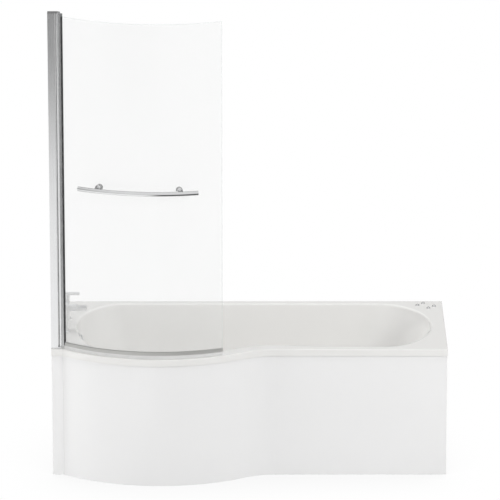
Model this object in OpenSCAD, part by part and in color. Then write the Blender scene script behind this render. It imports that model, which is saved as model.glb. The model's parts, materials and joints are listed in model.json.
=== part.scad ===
// P shaped shower bath: an acrylic bath with a bowed shower end and a curved front panel, on a steel leg
// frame, with a two-hole bath filler, a pop-up waste with overflow, and a curved glass screen that swings.
// Millimetres. +Z is up and the floor is Z = 0. The long wall is at the +Y side and the tap wall at -X.
// The origin is on the floor, at the middle of the whole outline.

/* [Bath] */
// Length of the bath
bath_l = 1700; // [1600:10:1800]
// Width of the bath at the head end
bath_w = 700; // [680:5:760]
// How far the shower end bows out past the straight front
bow_d = 150; // [135:5:165]
// Radius of the bow
bow_r = 660; // [640:5:700]
// Crown of the bow, from the tap wall
bow_x = 465; // [455:5:480]
// Radius of the hollow bend between the bow and the straight front
waist_r = 250; // [200:5:300]
// Height of the rim above the floor
rim_h = 570; // [530:5:580]
// Height of the lip that hangs from the rim
lip_h = 30; // [25:1:36]
// Thickness of the reinforced acrylic
shell_t = 6; // [5:0.5:7]
// Radius along the upper edge of the rim
edge_r = 3; // [2:0.5:4]

/* [Basin] */
// Height of the basin's floor above the room's floor
floor_h = 170; // [140:5:180]
// Radius of the rolled edge round the basin
roll_r = 10; // [7:1:14]
// Rim width along the back
deck_back = 46; // [44:1:60]
// Rim width at the tap end
deck_tap = 98; // [88:1:106]
// Rim width at the head end
deck_head = 63; // [50:1:90]
// Rim width round the bow
deck_bow = 62; // [56:1:70]
// Rim width at the hollow bend
deck_waist = 70; // [60:1:80]
// Rim width along the straight front
deck_front = 40; // [38:1:60]
// Length over which the rim changes width
deck_blend = 280; // [200:10:320]
// Length of the rounded tap end
tap_end_l = 195; // [160:5:220]
// Length of the rounded head end
head_end_l = 227; // [190:5:260]
// How far the side walls lean in
side_lean = 35; // [25:1:45]
// How far the tap end leans in
tap_lean = 45; // [30:1:55]
// How far the head end leans in, as a backrest
head_lean = 235; // [200:5:260]
// Width of the rounding between the floor and the sides
floor_round = 75; // [60:1:90]
// Width of the rounding between the floor and the backrest
head_round = 110; // [90:5:130]

/* [Frame] */
// Length of the baseboard
board_l = 880; // [700:10:900]
// Width of the baseboard
board_w = 350; // [300:5:360]
// Thickness of the baseboard
board_t = 18; // [15:1:20]
// Tap-end edge of the baseboard, from the tap wall
board_x = 350; // [340:5:380]
// Distance of the cradle bars from the ends of the baseboard
bar_in = 70; // [40:5:120]
// Width of a cradle bar
bar_w = 32; // [28:1:40]
// Height of a cradle bar
bar_h = 14; // [12:1:18]
// Thickness of the bar's steel
bar_t = 2; // [1.5:0.25:3]
// Distance of the legs from the front and back edges
leg_in = 74; // [66:1:78]
// Diameter of a threaded leg
leg_dia = 12; // [10:1:14]
// How far a leg stands out above its bar
leg_over = 22; // [18:1:26]
// Width across the flats of a lock nut
nut_af = 19; // [18:1:24]
// Height of a lock nut
nut_h = 7; // [5:1:9]
// Diameter of a foot
foot_dia = 50; // [40:1:56]
// Height of a foot
foot_h = 18; // [15:1:24]
// Depth of the timber rail under the back rim
rail_w = 26; // [22:1:27]
// Length of the timber rail
rail_l = 1150; // [950:10:1200]
// Distance between the wall brackets
bracket_gap = 800; // [500:10:900]
// Width of a wall bracket
bracket_w = 30; // [25:1:40]
// Height of a wall bracket's leg against the wall
bracket_h = 50; // [40:1:70]
// Thickness of a wall bracket
bracket_t = 2.5; // [2:0.25:3]

/* [Panel] */
// Thickness of the front panel
panel_t = 3; // [2.5:0.5:5]
// Depth of the fold along the panel's upper edge
panel_fold = 18; // [14:1:20]
// How far the panel reaches up behind the lip
panel_up = 14; // [10:1:16]
// Depth of the floor batten
batten_w = 25; // [20:1:28]
// Height of the floor batten
batten_h = 38; // [30:1:50]
// Length of the blocks behind the bow
block_l = 110; // [80:5:130]

/* [Waste] */
// Waste centre from the tap wall
waste_x = 270; // [265:1:280]
// Diameter of the waste flange
waste_dia = 70; // [64:1:74]
// Diameter of the hole through the basin floor
waste_hole_dia = 52; // [50:1:54]
// Height of the waste body below the basin
waste_body_h = 40; // [38:1:42]
// Diameter of the pop-up plug
plug_dia = 62; // [56:1:63]
// Diameter of the plug's stem
stem_dia = 8; // [6:1:9]
// Centre height of the overflow below the rim
overflow_down = 72; // [66:1:80]
// Diameter of the overflow's face plate
overflow_dia = 70; // [64:1:74]
// Diameter of the overflow knob
knob_dia = 52; // [44:1:56]
// Outer diameter of the overflow hose over its ribs
hose_dia = 31; // [30:0.5:32]
// Bore of the overflow hose
hose_bore = 26; // [24:0.5:26.5]
// Distance from one rib to the next
rib_pitch = 4.5; // [4:0.25:6]
// Radius of the bend in the hose
hose_bend = 110; // [100:5:115]
// Outer diameter of the trap's tube
trap_dia = 38; // [36:1:40]
// Radius of the trap's bends
trap_bend = 24; // [22:1:25]
// Diameter of the outlet pipe that the trap takes
outlet_dia = 40; // [38:0.1:42]

/* [Tap] */
// Distance between the two tap columns
tap_pitch = 180; // [160:5:200]
// Tap centre line from the tap wall
tap_x = 52; // [38:1:58]
// Diameter of a column
column_dia = 24; // [22:1:26]
// Height of a column above the rim
column_h = 104; // [96:1:115]
// Diameter of a base flange
flange_dia = 40; // [36:1:44]
// Height of the middle of the bridge above the rim
bridge_h = 76; // [70:1:82]
// Thickness of the bridge and the spout
spout_t = 13; // [11:1:16]
// Width of the spout
spout_w = 40; // [34:1:48]
// Reach of the spout from the column line
spout_l = 90; // [85:1:105]
// Diameter of a lever bar
lever_dia = 14; // [12:1:15]
// Reach of a lever from its column's axis
lever_l = 56; // [46:1:62]
// Diameter of a threaded tail
tail_dia = 26.2; // [25:0.1:27]
// Length of a tail below the top of the rim
tail_l = 58; // [50:1:65]
// Diameter of the tap holes through the rim
tap_hole_dia = 28; // [27.6:0.1:29]

/* [Studs] */
// Diameter of a deck stud
stud_dia = 17; // [14:1:19]
// Length of the studs' rectangle
stud_l = 63; // [45:1:66]
// Width of the studs' rectangle
stud_w = 38; // [26:1:42]

/* [Screen] */
// Height of the screen above the rim
screen_h = 1480; // [1380:5:1500]
// Middle of the glass, inwards from the rim's outer edge
glass_in = 18; // [16:1:22]
// Thickness of the glass
glass_t = 6; // [5:0.5:8]
// Free edge of the glass, degrees round the bow from its crown
glass_end = 24.8; // [20:0.2:27]
// How far the glass ends below the top of the screen
glass_drop = 15; // [14:1:24]
// Projection of the wall channel
channel_d = 30; // [26:1:31]
// Width of the wall channel
channel_w = 28; // [25:1:32]
// Thickness of the channel's aluminium
channel_t = 2; // [1.5:0.25:2.5]
// Diameter of the pivot post
post_dia = 20; // [19:0.5:21]
// Diameter of the pivot pins
pin_dia = 6; // [5:0.5:8]
// Height of the rail along the foot of the glass
foot_rail_h = 14; // [12:1:18]
// Height of the soft seal below that rail
seal_h = 15; // [12:1:18]

/* [Towel rail] */
// Diameter of the towel rail
rail_dia = 19; // [16:1:22]
// Gap from the middle of the glass to the middle of the rail
rail_off = 55; // [48:1:60]
// Height of the rail above the rim
rail_h = 744; // [600:4:900]
// Middle of the rail, degrees round the bow from its crown
rail_mid = -7.5; // [-12:0.5:-5]
// Half the rail's spread, degrees
rail_half = 21.5; // [18:0.5:24]
// Half the spread of its two fixings, degrees
boss_half = 15.5; // [12:0.5:17]
// Diameter of a fixing's disc on the glass
boss_dia = 27; // [24:1:32]

/* [Hidden] */

// Clearances
fit = 0.1;         // piece inside a piece, each side
run = 0.05;        // shaft in a hole, each side
gap = 0.3;         // between bodies that pass each other
seat = 0.2;        // glass in its seal and in its foot rail, each side

// Plan of the bath
half_l = bath_l / 2;
glass_r = bow_r - glass_in;
towel_r = glass_r + rail_off;
all_w = bath_w + bow_d + towel_r + rail_dia / 2 - bow_r;
back_y = all_w / 2;
front_y = back_y - bath_w;
bow_front = front_y - bow_d;
bow_cx = bow_x - half_l;
bow_cy = bow_front + bow_r;
waist_cy = front_y - waist_r;
waist_cx = bow_cx + sqrt(pow(bow_r + waist_r, 2) - pow(bow_cy - waist_cy, 2));
turn_s = (waist_cx - bow_cx) / (bow_r + waist_r);
turn_x = bow_cx + bow_r * turn_s;
crease_x = bow_cx - sqrt(pow(bow_r, 2) - pow(bow_r - bow_d, 2));

// Heights
lip_z = rim_h - lip_h;
deck_z = rim_h - shell_t;
floor_z = floor_h;
basin_d = rim_h - floor_h;
under_z = floor_z - shell_t;
board_z = under_z - board_t;
bar_z = board_z - bar_h;
screen_z = rim_h + screen_h;

function smooth(a, b, x) = let (t = min(1, max(0, (x - a) / (b - a)))) t * t * (3 - 2 * t);

// Front edge of the plan at x, moved inwards by i
function plan_front(x, i) =
    let (b = bow_r - i, w = waist_r + i, bow_y = bow_cy - sqrt(max(0, b * b - pow(x - bow_cx, 2))))
    x >= waist_cx ? front_y + i
    : x > bow_cx + b * turn_s ? waist_cy + sqrt(w * w - pow(x - waist_cx, 2))
    : x > bow_cx ? bow_y
    : min(front_y + i, bow_y);

// Front rim width at x: it widens into the hollow bend and narrows along the straight front
function deck_in(x) = deck_bow + (deck_waist - deck_bow) * smooth(turn_x - deck_blend, turn_x, x)
    + (deck_front - deck_waist) * smooth((turn_x + waist_cx) / 2, waist_cx + deck_blend, x);

// Plan of the bath, moved inwards by i at the front, by ends at both ends and by back at the wall
module plan(i = 0, ends = 0, back = 0) {
    b = bow_r - i;
    translate([-half_l + ends, front_y + i]) square([bath_l - 2 * ends, bath_w - i - back]);
    intersection() {
        translate([bow_cx, bow_cy]) circle(r = b, $fn = 180);
        translate([-half_l + ends, bow_front]) square([bath_l - 2 * ends, bath_w + bow_d - back]);
    }
    difference() {
        polygon([[bow_cx + b * turn_s, bow_cy - b * sqrt(1 - turn_s * turn_s)], [waist_cx, front_y + i],
            [waist_cx, front_y + i + 20], [bow_cx, front_y + i + 20]]);
        translate([waist_cx, waist_cy]) circle(r = waist_r + i, $fn = 180);
    }
}

// Places children on an arc about the bow's centre, from angle a0 to a1 off the crown, drawn as [radius, z]
module bow_sweep(a0, a1) translate([bow_cx, bow_cy, 0]) rotate([0, 0, a0 - 90])
    rotate_extrude(angle = a1 - a0, $fn = 360) children();

// Places children with +X pointing outwards from the bow's centre, at angle a, radius r and height z
module bow_place(a, r, z)
    translate([bow_cx, bow_cy, z]) rotate([0, 0, a - 90]) translate([r, 0, 0]) children();

module ring(r_out, r_in, h) difference() {
    cylinder(r = r_out, h = h, $fn = 64);
    translate([0, 0, -1]) cylinder(r = r_in, h = h + 2, $fn = 64);
}

// ---- Bath shell ----

corner_n = 4;      // fullness of the rounding at the floor
depth_steps = 10;
end_steps = 12;    // stations round each half end
long_steps = 36;   // stations along the front
back_steps = 8;

function lean(lin, rnd, d) = lin * d + rnd * (1 - pow(max(0, 1 - pow(d, corner_n)), 1 / corner_n));
function basin_x0(d, out) = -half_l + deck_tap + lean(tap_lean, floor_round, d) - out + tap_end_l;
function basin_x1(d, out) = half_l - deck_head - lean(head_lean, head_round, d) + out - head_end_l;

// Angle, past the start of the rounded tap end, at which the outline meets the crease in the front
crease_a = atan((basin_x0(0, 0) - crease_x) / (basin_x0(0, 0) + half_l));

// Stations round the bath from the tap end along the front: [share of the straight part, cosine, sine]
stations = concat(
    [for (k = [0:long_steps - 1]) [k / long_steps, 0, -1]],
    [for (k = [0:2 * end_steps - 1]) let (a = -90 + 90 * k / end_steps) [1, cos(a), sin(a)]],
    [for (k = [0:back_steps - 1]) [1 - k / back_steps, 0, 1]],
    [for (k = [0:end_steps + end_steps / 2 - 1]) let (a = 90 + 90 * k / end_steps) [0, cos(a), sin(a)]],
    [for (a = [45, (45 + crease_a) / 2]) [0, -sin(a), -cos(a)]],
    [for (k = [6:-1:1]) let (a = crease_a * k / 6) [0, -sin(a), -cos(a)]]);

// Basin outline at depth share d, moved outwards by out, at height z
function basin_ring(d, out, z) =
    let (x0 = basin_x0(d, out), x1 = basin_x1(d, out), s_in = lean(side_lean, floor_round, d) - out,
         b = back_y - deck_back - s_in)
    [for (p = stations) let (
        x = x0 + (x1 - x0) * p[0] + p[1] * (p[1] > 0 ? head_end_l : tap_end_l),
        f = plan_front(x, deck_in(x) + s_in))
        [x, (b + f) / 2 + p[2] * (b - f) / 2, z]];

// Rim outline moved inwards by i, at height z: the same stations pushed out to a square corner
function rim_ring(i, z) =
    let (x0 = basin_x0(0, 0), x1 = basin_x1(0, 0), b = back_y - i)
    [for (p = stations) let (
        m = max(abs(p[1]), abs(p[2])),
        x = x0 + (x1 - x0) * p[0] + p[1] / m * (p[1] > 0 ? half_l - i - x1 : half_l - i + x0),
        f = plan_front(x, i))
        [x, (b + f) / 2 + p[2] / m * (b - f) / 2, z]];

function depth(k) = 1 - pow(k / depth_steps, 2.5);

module bath_body() {
    rings = concat(
        [for (k = [0:depth_steps]) let (d = depth(k))
            basin_ring(d, 0, rim_h - roll_r - (basin_d - roll_r) * d)],
        [for (a = [30, 60, 90]) basin_ring(0, roll_r * (1 - cos(a)), rim_h - roll_r * (1 - sin(a)))],
        [rim_ring(edge_r, rim_h), rim_ring(edge_r * 0.3, rim_h - edge_r * 0.3), rim_ring(0, rim_h - edge_r),
         rim_ring(0, lip_z), rim_ring(shell_t, lip_z), rim_ring(shell_t, deck_z)],
        [for (k = [depth_steps:-1:0]) let (d = depth(k)) basin_ring(d, shell_t, deck_z - basin_d * d)]);
    n = len(stations);
    m = len(rings);
    polyhedron(
        points = [for (r = rings) for (p = r) p],
        faces = concat(
            [[for (j = [n - 1:-1:0]) j]],
            [for (i = [0:m - 2]) for (j = [0:n - 1]) let (a = i * n + j, b = i * n + (j + 1) % n)
                for (t = [[a, b, b + n], [a, b + n, a + n]]) t],
            [[for (j = [0:n - 1]) (m - 1) * n + j]]),
        convexity = 10);
}

mid_y = front_y + bath_w / 2;
waste_px = waste_x - half_l;
overflow_z = rim_h - overflow_down;
overflow_depth = (overflow_down - roll_r) / (basin_d - roll_r);
overflow_wall = -half_l + deck_tap + lean(tap_lean, floor_round, overflow_depth);
overflow_tilt = atan(tap_lean / (basin_d - roll_r));   // the tap end leans, and the overflow with it
overflow_half_w = (back_y - deck_back - plan_front(overflow_wall, deck_bow)) / 2
    - lean(side_lean, floor_round, overflow_depth);
overflow_hole_dia = 40;
// Places children on the inside of the tap end with +Z pointing into the basin
module at_overflow()
    translate([overflow_wall, mid_y, overflow_z]) rotate([0, 90 - overflow_tilt, 0]) children();
tap_px = tap_x - half_l;

module bath_shell() color([0.96, 0.96, 0.95]) difference() {
    bath_body();
    translate([waste_px, mid_y, under_z - 10]) cylinder(d = waste_hole_dia, h = 30, $fn = 64);
    at_overflow() translate([0, 0, -30]) cylinder(d = overflow_hole_dia, h = 60, $fn = 64);
    at_taps() translate([0, 0, -20]) cylinder(d = tap_hole_dia, h = 40, $fn = 64);
}

// ---- Frame ----

screw_r = 2;
screw_head_r = 4;
screw_head_h = 2.4;
screw_in = 14;     // how far a screw goes into timber or board
board_px = board_x - half_l;
board_y = mid_y - board_w / 2;
bar_x = [board_px + bar_in, board_px + board_l - bar_in];
function bar_legs(x) = [plan_front(x, leg_in), back_y - leg_in];
bar_end = 20;      // bar past the middle of a leg
leg_socket = 10;   // how far a leg stands in its foot

module at_legs() for (x = bar_x) for (y = bar_legs(x)) translate([x, y, 0]) children();
module at_cradle_screws() for (x = bar_x) for (y = [0.15, 0.4, 0.6, 0.85])
    translate([x, board_y + board_w * y, board_z]) children();

module baseboard() color([0.80, 0.68, 0.50]) difference() {
    translate([board_px, board_y, board_z]) cube([board_l, board_w, board_t]);
    at_cradle_screws() translate([0, 0, -1]) cylinder(r = screw_r, h = screw_in + 1, $fn = 24);
}

module cradle_bars() color([0.70, 0.71, 0.72]) difference() {
    for (x = bar_x) let (y = bar_legs(x), bar_l = y[1] - y[0] + 2 * bar_end)
        translate([x - bar_w / 2, y[0] - bar_end, bar_z]) difference() {
            cube([bar_w, bar_l, bar_h]);
            translate([bar_t, -1, -1]) cube([bar_w - 2 * bar_t, bar_l + 2, bar_h - bar_t + 1]);
        }
    at_legs() cylinder(r = leg_dia / 2 + fit, h = rim_h, $fn = 32);
    at_cradle_screws() translate([0, 0, -bar_h]) cylinder(r = screw_r + fit, h = bar_h + 1, $fn = 24);
}

module cradle_screws() color([0.75, 0.72, 0.55]) at_cradle_screws() {
    translate([0, 0, -bar_t - screw_head_h]) cylinder(r = screw_head_r, h = screw_head_h, $fn = 24);
    translate([0, 0, -bar_t]) cylinder(r = screw_r, h = bar_t + screw_in, $fn = 24);
}

module threaded_legs() color([0.72, 0.73, 0.75]) at_legs()
    translate([0, 0, foot_h - leg_socket])
        cylinder(d = leg_dia, h = board_z + leg_over - foot_h + leg_socket, $fn = 32);

module leg_nuts() color([0.72, 0.73, 0.75]) at_legs() for (z = [bar_z + bar_h, bar_z + bar_h - bar_t - nut_h])
    translate([0, 0, z]) difference() {
        cylinder(r = nut_af / sqrt(3), h = nut_h, $fn = 6);
        translate([0, 0, -1]) cylinder(d = leg_dia, h = nut_h + 2, $fn = 32);
    }

module feet() color([0.20, 0.20, 0.21]) at_legs() difference() {
    rotate_extrude($fn = 48) polygon([[0, 0], [foot_dia / 2 - 1, 0], [foot_dia / 2, 1], [foot_dia / 2, 5],
        [leg_dia / 2 + 7, 9], [leg_dia / 2 + 5, foot_h], [0, foot_h]]);
    translate([0, 0, foot_h - leg_socket]) cylinder(d = leg_dia, h = foot_h, $fn = 32);
}

rail_y = back_y - shell_t - 1 - rail_w;
bracket_hole_r = 3;
bracket_hole_up = 15;
bracket_hole_z = lip_z - bracket_h + bracket_hole_up;
module at_brackets() for (x = [-bracket_gap / 2, bracket_gap / 2]) translate([x, 0, 0]) children();

module rim_rail() color([0.82, 0.70, 0.50]) difference() {
    translate([-rail_l / 2, rail_y, lip_z]) cube([rail_l, rail_w, deck_z - lip_z]);
    at_brackets() translate([0, rail_y + rail_w / 2, lip_z - 1])
        cylinder(r = screw_r, h = screw_in + 1, $fn = 24);
}

module wall_brackets() color([0.74, 0.75, 0.77]) at_brackets() difference() {
    union() {
        translate([-bracket_w / 2, rail_y, lip_z - bracket_t]) cube([bracket_w, back_y - rail_y, bracket_t]);
        translate([-bracket_w / 2, back_y - bracket_t, lip_z - bracket_h])
            cube([bracket_w, bracket_t, bracket_h]);
    }
    translate([0, rail_y + rail_w / 2, lip_z - bracket_t - 1])
        cylinder(r = screw_r + fit, h = bracket_t + 2, $fn = 24);
    translate([0, back_y - bracket_t - 1, bracket_hole_z]) rotate([-90, 0, 0])
        cylinder(r = bracket_hole_r, h = bracket_t + 2, $fn = 24);
}

module bracket_screws() color([0.75, 0.72, 0.55]) at_brackets()
    translate([0, rail_y + rail_w / 2, lip_z - bracket_t]) {
        translate([0, 0, -screw_head_h]) cylinder(r = screw_head_r, h = screw_head_h, $fn = 24);
        cylinder(r = screw_r, h = bracket_t + screw_in, $fn = 24);
    }

// ---- Front panel ----

panel_in = shell_t + 1;   // the panel stands just inside the lip
panel_end = 1.5;
past = 40;              // how far a cutting plan reaches past the bath
module panel_band(i0, i1, ends) difference() {
    plan(i0, ends, 0);
    plan(i1, -past, -past);
}

module front_panel() color([0.95, 0.95, 0.95]) {
    linear_extrude(lip_z - 1) panel_band(panel_in, panel_in + panel_t, panel_end);
    translate([0, 0, lip_z - 1]) linear_extrude(panel_up + 1)
        panel_band(panel_in, panel_in + panel_t, shell_t + 1);
    translate([0, 0, lip_z + panel_up - panel_t]) linear_extrude(panel_t)
        panel_band(panel_in + panel_t, panel_in + panel_fold, shell_t + 1);
}

batten_in = panel_in + panel_t;
batten_x = waist_cx + 40;
module floor_batten() color([0.82, 0.70, 0.50])
    translate([batten_x, front_y + batten_in, 0]) cube([half_l - 30 - batten_x, batten_w, batten_h]);

// A straight block touches the curved panel with its two front corners
block_r = sqrt(pow(bow_r - batten_in - gap, 2) - pow(block_l / 2, 2));
module panel_blocks() color([0.82, 0.70, 0.50]) for (a = [-26, 0, 22]) bow_place(a, block_r - batten_w, 0)
    translate([0, -block_l / 2, 0]) cube([batten_w, block_l, batten_h]);

// ---- Waste ----

waste_hole_r = waste_hole_dia / 2;
sleeve_r = waste_hole_r - 2;
sleeve_wall = 2.5;
flange_t = 2.5;
gasket_t = 3;
body_top = under_z - gasket_t;
body_z = body_top - waste_body_h;
spigot_r = trap_dia / 2 + 1;
spigot_h = 16;
guide_r = stem_dia / 2 + run;
stem_l = 46;
seat_gap = 0.4;
plug_z = floor_z + flange_t + seat_gap;

module waste_flange() color([0.80, 0.81, 0.83]) translate([waste_px, mid_y, 0]) {
    translate([0, 0, floor_z]) rotate_extrude($fn = 64) polygon([
        [sleeve_r - sleeve_wall, 0], [waste_dia / 2, 0], [waste_dia / 2, 0.8],
        [waste_dia / 2 - 4, flange_t], [sleeve_r - sleeve_wall, flange_t]]);
    translate([0, 0, body_top - 8]) ring(sleeve_r, sleeve_r - sleeve_wall, floor_z - body_top + 8);
    difference() {
        translate([0, 0, body_top - 8]) union() {
            cylinder(r = guide_r + 2.5, h = 12, $fn = 32);
            for (a = [0, 60, 120]) rotate([0, 0, a]) translate([-sleeve_r + 1, -1.25, 0])
                cube([2 * sleeve_r - 2, 2.5, 5]);
        }
        translate([0, 0, body_top - 20]) cylinder(r = guide_r, h = 60, $fn = 32);
    }
}

module waste_gasket() color([0.15, 0.15, 0.15]) translate([waste_px, mid_y, body_top])
    ring(waste_dia / 2, waste_hole_r, gasket_t);

hose_z = body_z + hose_dia / 2 + 1;
hose_spigot_r = hose_bore / 2 * cos(22.5) - fit;   // the hose's bore has eight sides
spigot_wall = 2;
hose_x = overflow_wall - 29;
hose_top = overflow_z - 34;
body_r = waste_dia / 2 - 3;

module waste_body() color([0.18, 0.18, 0.19]) translate([waste_px, mid_y, 0]) difference() {
    union() {
        translate([0, 0, body_z]) cylinder(r = body_r, h = waste_body_h, $fn = 64);
        translate([0, 0, body_top - 4]) cylinder(r = waste_dia / 2, h = 4, $fn = 64);
        translate([0, 0, body_z - spigot_h]) cylinder(r = spigot_r, h = spigot_h + 2, $fn = 64);
        translate([-body_r - 26, 0, hose_z]) rotate([0, 90, 0]) cylinder(r = hose_spigot_r, h = 30, $fn = 48);
    }
    translate([0, 0, body_z + 3]) cylinder(r = sleeve_r + fit, h = waste_body_h, $fn = 64);
    translate([0, 0, body_z - spigot_h - 1]) cylinder(r = spigot_r - 3, h = spigot_h + 10, $fn = 64);
    translate([-body_r - 40, 0, hose_z]) rotate([0, 90, 0])
        cylinder(r = hose_spigot_r - spigot_wall, h = 50, $fn = 48);
}

module plug() color([0.80, 0.81, 0.83]) translate([waste_px, mid_y, plug_z]) {
    rotate_extrude($fn = 64) polygon([[0, 0], [plug_dia / 2 - 3, 0], [plug_dia / 2, 2],
        [plug_dia / 2 - 1, 3.5], [plug_dia / 2 - 8, 5], [12, 6], [0, 6.3]]);
    translate([0, 0, -stem_l]) cylinder(d = stem_dia, h = stem_l, $fn = 32);
}

module plug_seal() color([0.15, 0.15, 0.15]) translate([waste_px, mid_y, plug_z])
    translate([0, 0, -3]) ring(sleeve_r - sleeve_wall - gap, stem_dia / 2 + 4, 3);

// ---- Overflow ----

plate_t = 6;
knob_t = 11;
shaft_r = 4;
// The tap end is hollow in plan, so the plate bears on it with its two sides
plate_z = pow(overflow_dia / 2, 2) * tap_end_l / 2 / pow(overflow_half_w, 2) + 2 * gap;
overflow_sleeve_r = overflow_hole_dia / 2 - 2;
overflow_body_r = 27;
overflow_body_l = 24;
sleeve_back = shell_t + 12;   // ends short of the lift cable

module overflow_plate() color([0.80, 0.81, 0.83]) at_overflow() difference() {
    union() {
        translate([0, 0, plate_z]) rotate_extrude($fn = 64) polygon([[0, 0], [overflow_dia / 2, 0],
            [overflow_dia / 2, plate_t - 2], [overflow_dia / 2 - 2, plate_t], [0, plate_t]]);
        translate([0, 0, -sleeve_back])
            cylinder(r = overflow_sleeve_r, h = plate_z + sleeve_back + 1, $fn = 48);
    }
    translate([0, 0, -sleeve_back - 1])
        cylinder(r = overflow_sleeve_r - sleeve_wall, h = plate_z + sleeve_back + 1, $fn = 48);
    translate([0, 0, -40]) cylinder(r = shaft_r + run, h = 80, $fn = 32);
    for (a = [-50, 0, 50]) rotate([0, 0, a]) translate([11, -3, plate_z - 1]) cube([4.5, 6, plate_t + 2]);
}

module overflow_knob() color([0.80, 0.81, 0.83]) at_overflow() translate([0, 0, plate_z + plate_t + gap]) {
    difference() {
        rotate_extrude($fn = 64) polygon([[0, 0], [knob_dia / 2 - 1, 0], [knob_dia / 2, 1],
            [knob_dia / 2, knob_t - 3], [knob_dia / 2 - 3, knob_t], [0, knob_t]]);
        for (a = [0:30:330]) rotate([0, 0, a + 15]) translate([knob_dia / 2 + 2, 0, -1])
            cylinder(r = 3.5, h = knob_t + 2, $fn = 24);
    }
    translate([0, 0, -30]) cylinder(r = shaft_r, h = 31, $fn = 32);
}

module overflow_body() color([0.18, 0.18, 0.19]) difference() {
    union() {
        at_overflow() translate([0, 0, -shell_t - gasket_t - overflow_body_l])
            cylinder(r = overflow_body_r, h = overflow_body_l, $fn = 48);
        translate([hose_x, mid_y, hose_top - 24]) cylinder(r = hose_spigot_r, h = 40, $fn = 48);
        translate([hose_x, mid_y, hose_top]) cylinder(r = hose_dia / 2, h = 14, $fn = 48);
    }
    at_overflow() translate([0, 0, -shell_t - gasket_t - overflow_body_l + 3])
        cylinder(r = overflow_sleeve_r + fit, h = overflow_body_l, $fn = 48);
    translate([hose_x, mid_y, hose_top - 30]) cylinder(r = hose_spigot_r - spigot_wall, h = 50, $fn = 48);
}

module overflow_gasket() color([0.15, 0.15, 0.15]) at_overflow() translate([0, 0, -shell_t - gasket_t])
    ring(overflow_body_r, overflow_hole_dia / 2, gasket_t);

// Route from the overflow down behind the tap end and under the floor to the waste. hose_at gives
// x, z and the turn so far at a distance s along it
hose_end = waste_px - body_r - gap;
drop_l = hose_top - hose_z - hose_bend;
bend_l = hose_bend * PI / 2;
run_l = hose_end - hose_x - hose_bend;
hose_l = drop_l + bend_l + run_l;
function hose_at(s) = let (a = min(90, max(0, (s - drop_l) / hose_bend * 180 / PI)))
    [hose_x + hose_bend * (1 - cos(a)) + max(0, s - drop_l - bend_l),
     hose_top - min(s, drop_l) - hose_bend * sin(a), a];
// Ring of r round the route at s, with the given number of sides
function hose_ring(s, r, sides, dx = 0) = let (p = hose_at(s))
    [for (k = [0:sides - 1]) let (t = 360 * (k + 0.5) / sides, u = r * cos(t) + dx)
        [p[0] + u * cos(p[2]), mid_y + r * sin(t), p[1] + u * sin(p[2])]];

// Closes a stack of rings of n points into a tube: back to its first ring, or with two end caps
module tube_mesh(rings, n, closed) {
    m = len(rings);
    polyhedron(points = [for (r = rings) for (p = r) p],
        faces = concat(
            closed ? [] : [[for (j = [0:n - 1]) j], [for (j = [n - 1:-1:0]) (m - 1) * n + j]],
            [for (i = [0:m - (closed ? 1 : 2)]) for (j = [0:n - 1])
                let (a = i * n + j, b = i * n + (j + 1) % n, c = (i + 1) % m * n + (j + 1) % n,
                     d = (i + 1) % m * n + j)
                for (t = [[a, c, b], [a, d, c]]) t]),
        convexity = 10);
}

hose_sides = 8;
rib_h = 1.6;
rib_count = min(200, floor((hose_l - 2 * hose_dia) / rib_pitch));
rib_start = (hose_l - rib_count * rib_pitch) / 2;
bore_steps = 36;
module overflow_hose() color([0.93, 0.93, 0.92]) tube_mesh(concat(
    [for (s = [0, rib_start - rib_pitch / 2]) hose_ring(s, hose_dia / 2, hose_sides)],
    [for (k = [0:rib_count - 1]) for (e = [0, 0.5])
        hose_ring(rib_start + (k + e) * rib_pitch, hose_dia / 2 - (e == 0 ? rib_h : 0), hose_sides)],
    [hose_ring(hose_l, hose_dia / 2, hose_sides)],
    [for (k = [bore_steps:-1:0]) hose_ring(hose_l * k / bore_steps, hose_bore / 2, hose_sides)]),
    hose_sides, true);

// The cable runs along the inner side of the bend, from under the knob's shaft to beside the plug's stem
cable_r = 1.6;
cable_in = hose_spigot_r - spigot_wall - cable_r - fit;
cable_up = overflow_z - hose_top - shaft_r - 4;
cable_l = hose_l + cable_up + body_r - stem_dia / 2 - 1;
cable_steps = 24;
module lift_cable() color([0.12, 0.12, 0.12])
    tube_mesh([for (k = [0:cable_steps])
        hose_ring(cable_l * k / cable_steps - cable_up, cable_r, hose_sides, cable_in)], hose_sides, false);

// ---- Trap ----

trap_r = trap_dia / 2;
trap_bore = trap_r - 2.5;
trap_top = body_z - spigot_h + 10;
outlet_r = outlet_dia / 2;
outlet_l = 30;
outlet_stop = 4;   // shoulder that the outlet pipe meets
trap_wall = 3;
nut_over = 6;      // how far a coupling nut stands out past the tube in it
u_z = trap_bend + trap_r + 6;
arm_z = u_z + 4 + trap_bend;
outlet_y = 3 * trap_bend + 20;

// One pass of the trap's route with radius r: down, round the U, up and out towards the wall
module trap_route(r) {
    translate([0, 0, u_z]) cylinder(r = r, h = body_z - spigot_h - u_z, $fn = 48);
    translate([0, trap_bend, u_z]) rotate([90, 0, 90]) rotate([0, 0, 180])
        rotate_extrude(angle = 180, $fn = 96) translate([trap_bend, 0]) circle(r = r, $fn = 48);
    translate([0, 2 * trap_bend, u_z]) cylinder(r = r, h = 4, $fn = 48);
    translate([0, 3 * trap_bend, u_z + 4]) rotate([90, 0, 90]) rotate([0, 0, 90])
        rotate_extrude(angle = 90, $fn = 96) translate([trap_bend, 0]) circle(r = r, $fn = 48);
    translate([0, 3 * trap_bend, arm_z]) rotate([-90, 0, 0]) cylinder(r = r, h = 24, $fn = 48);
}

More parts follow.
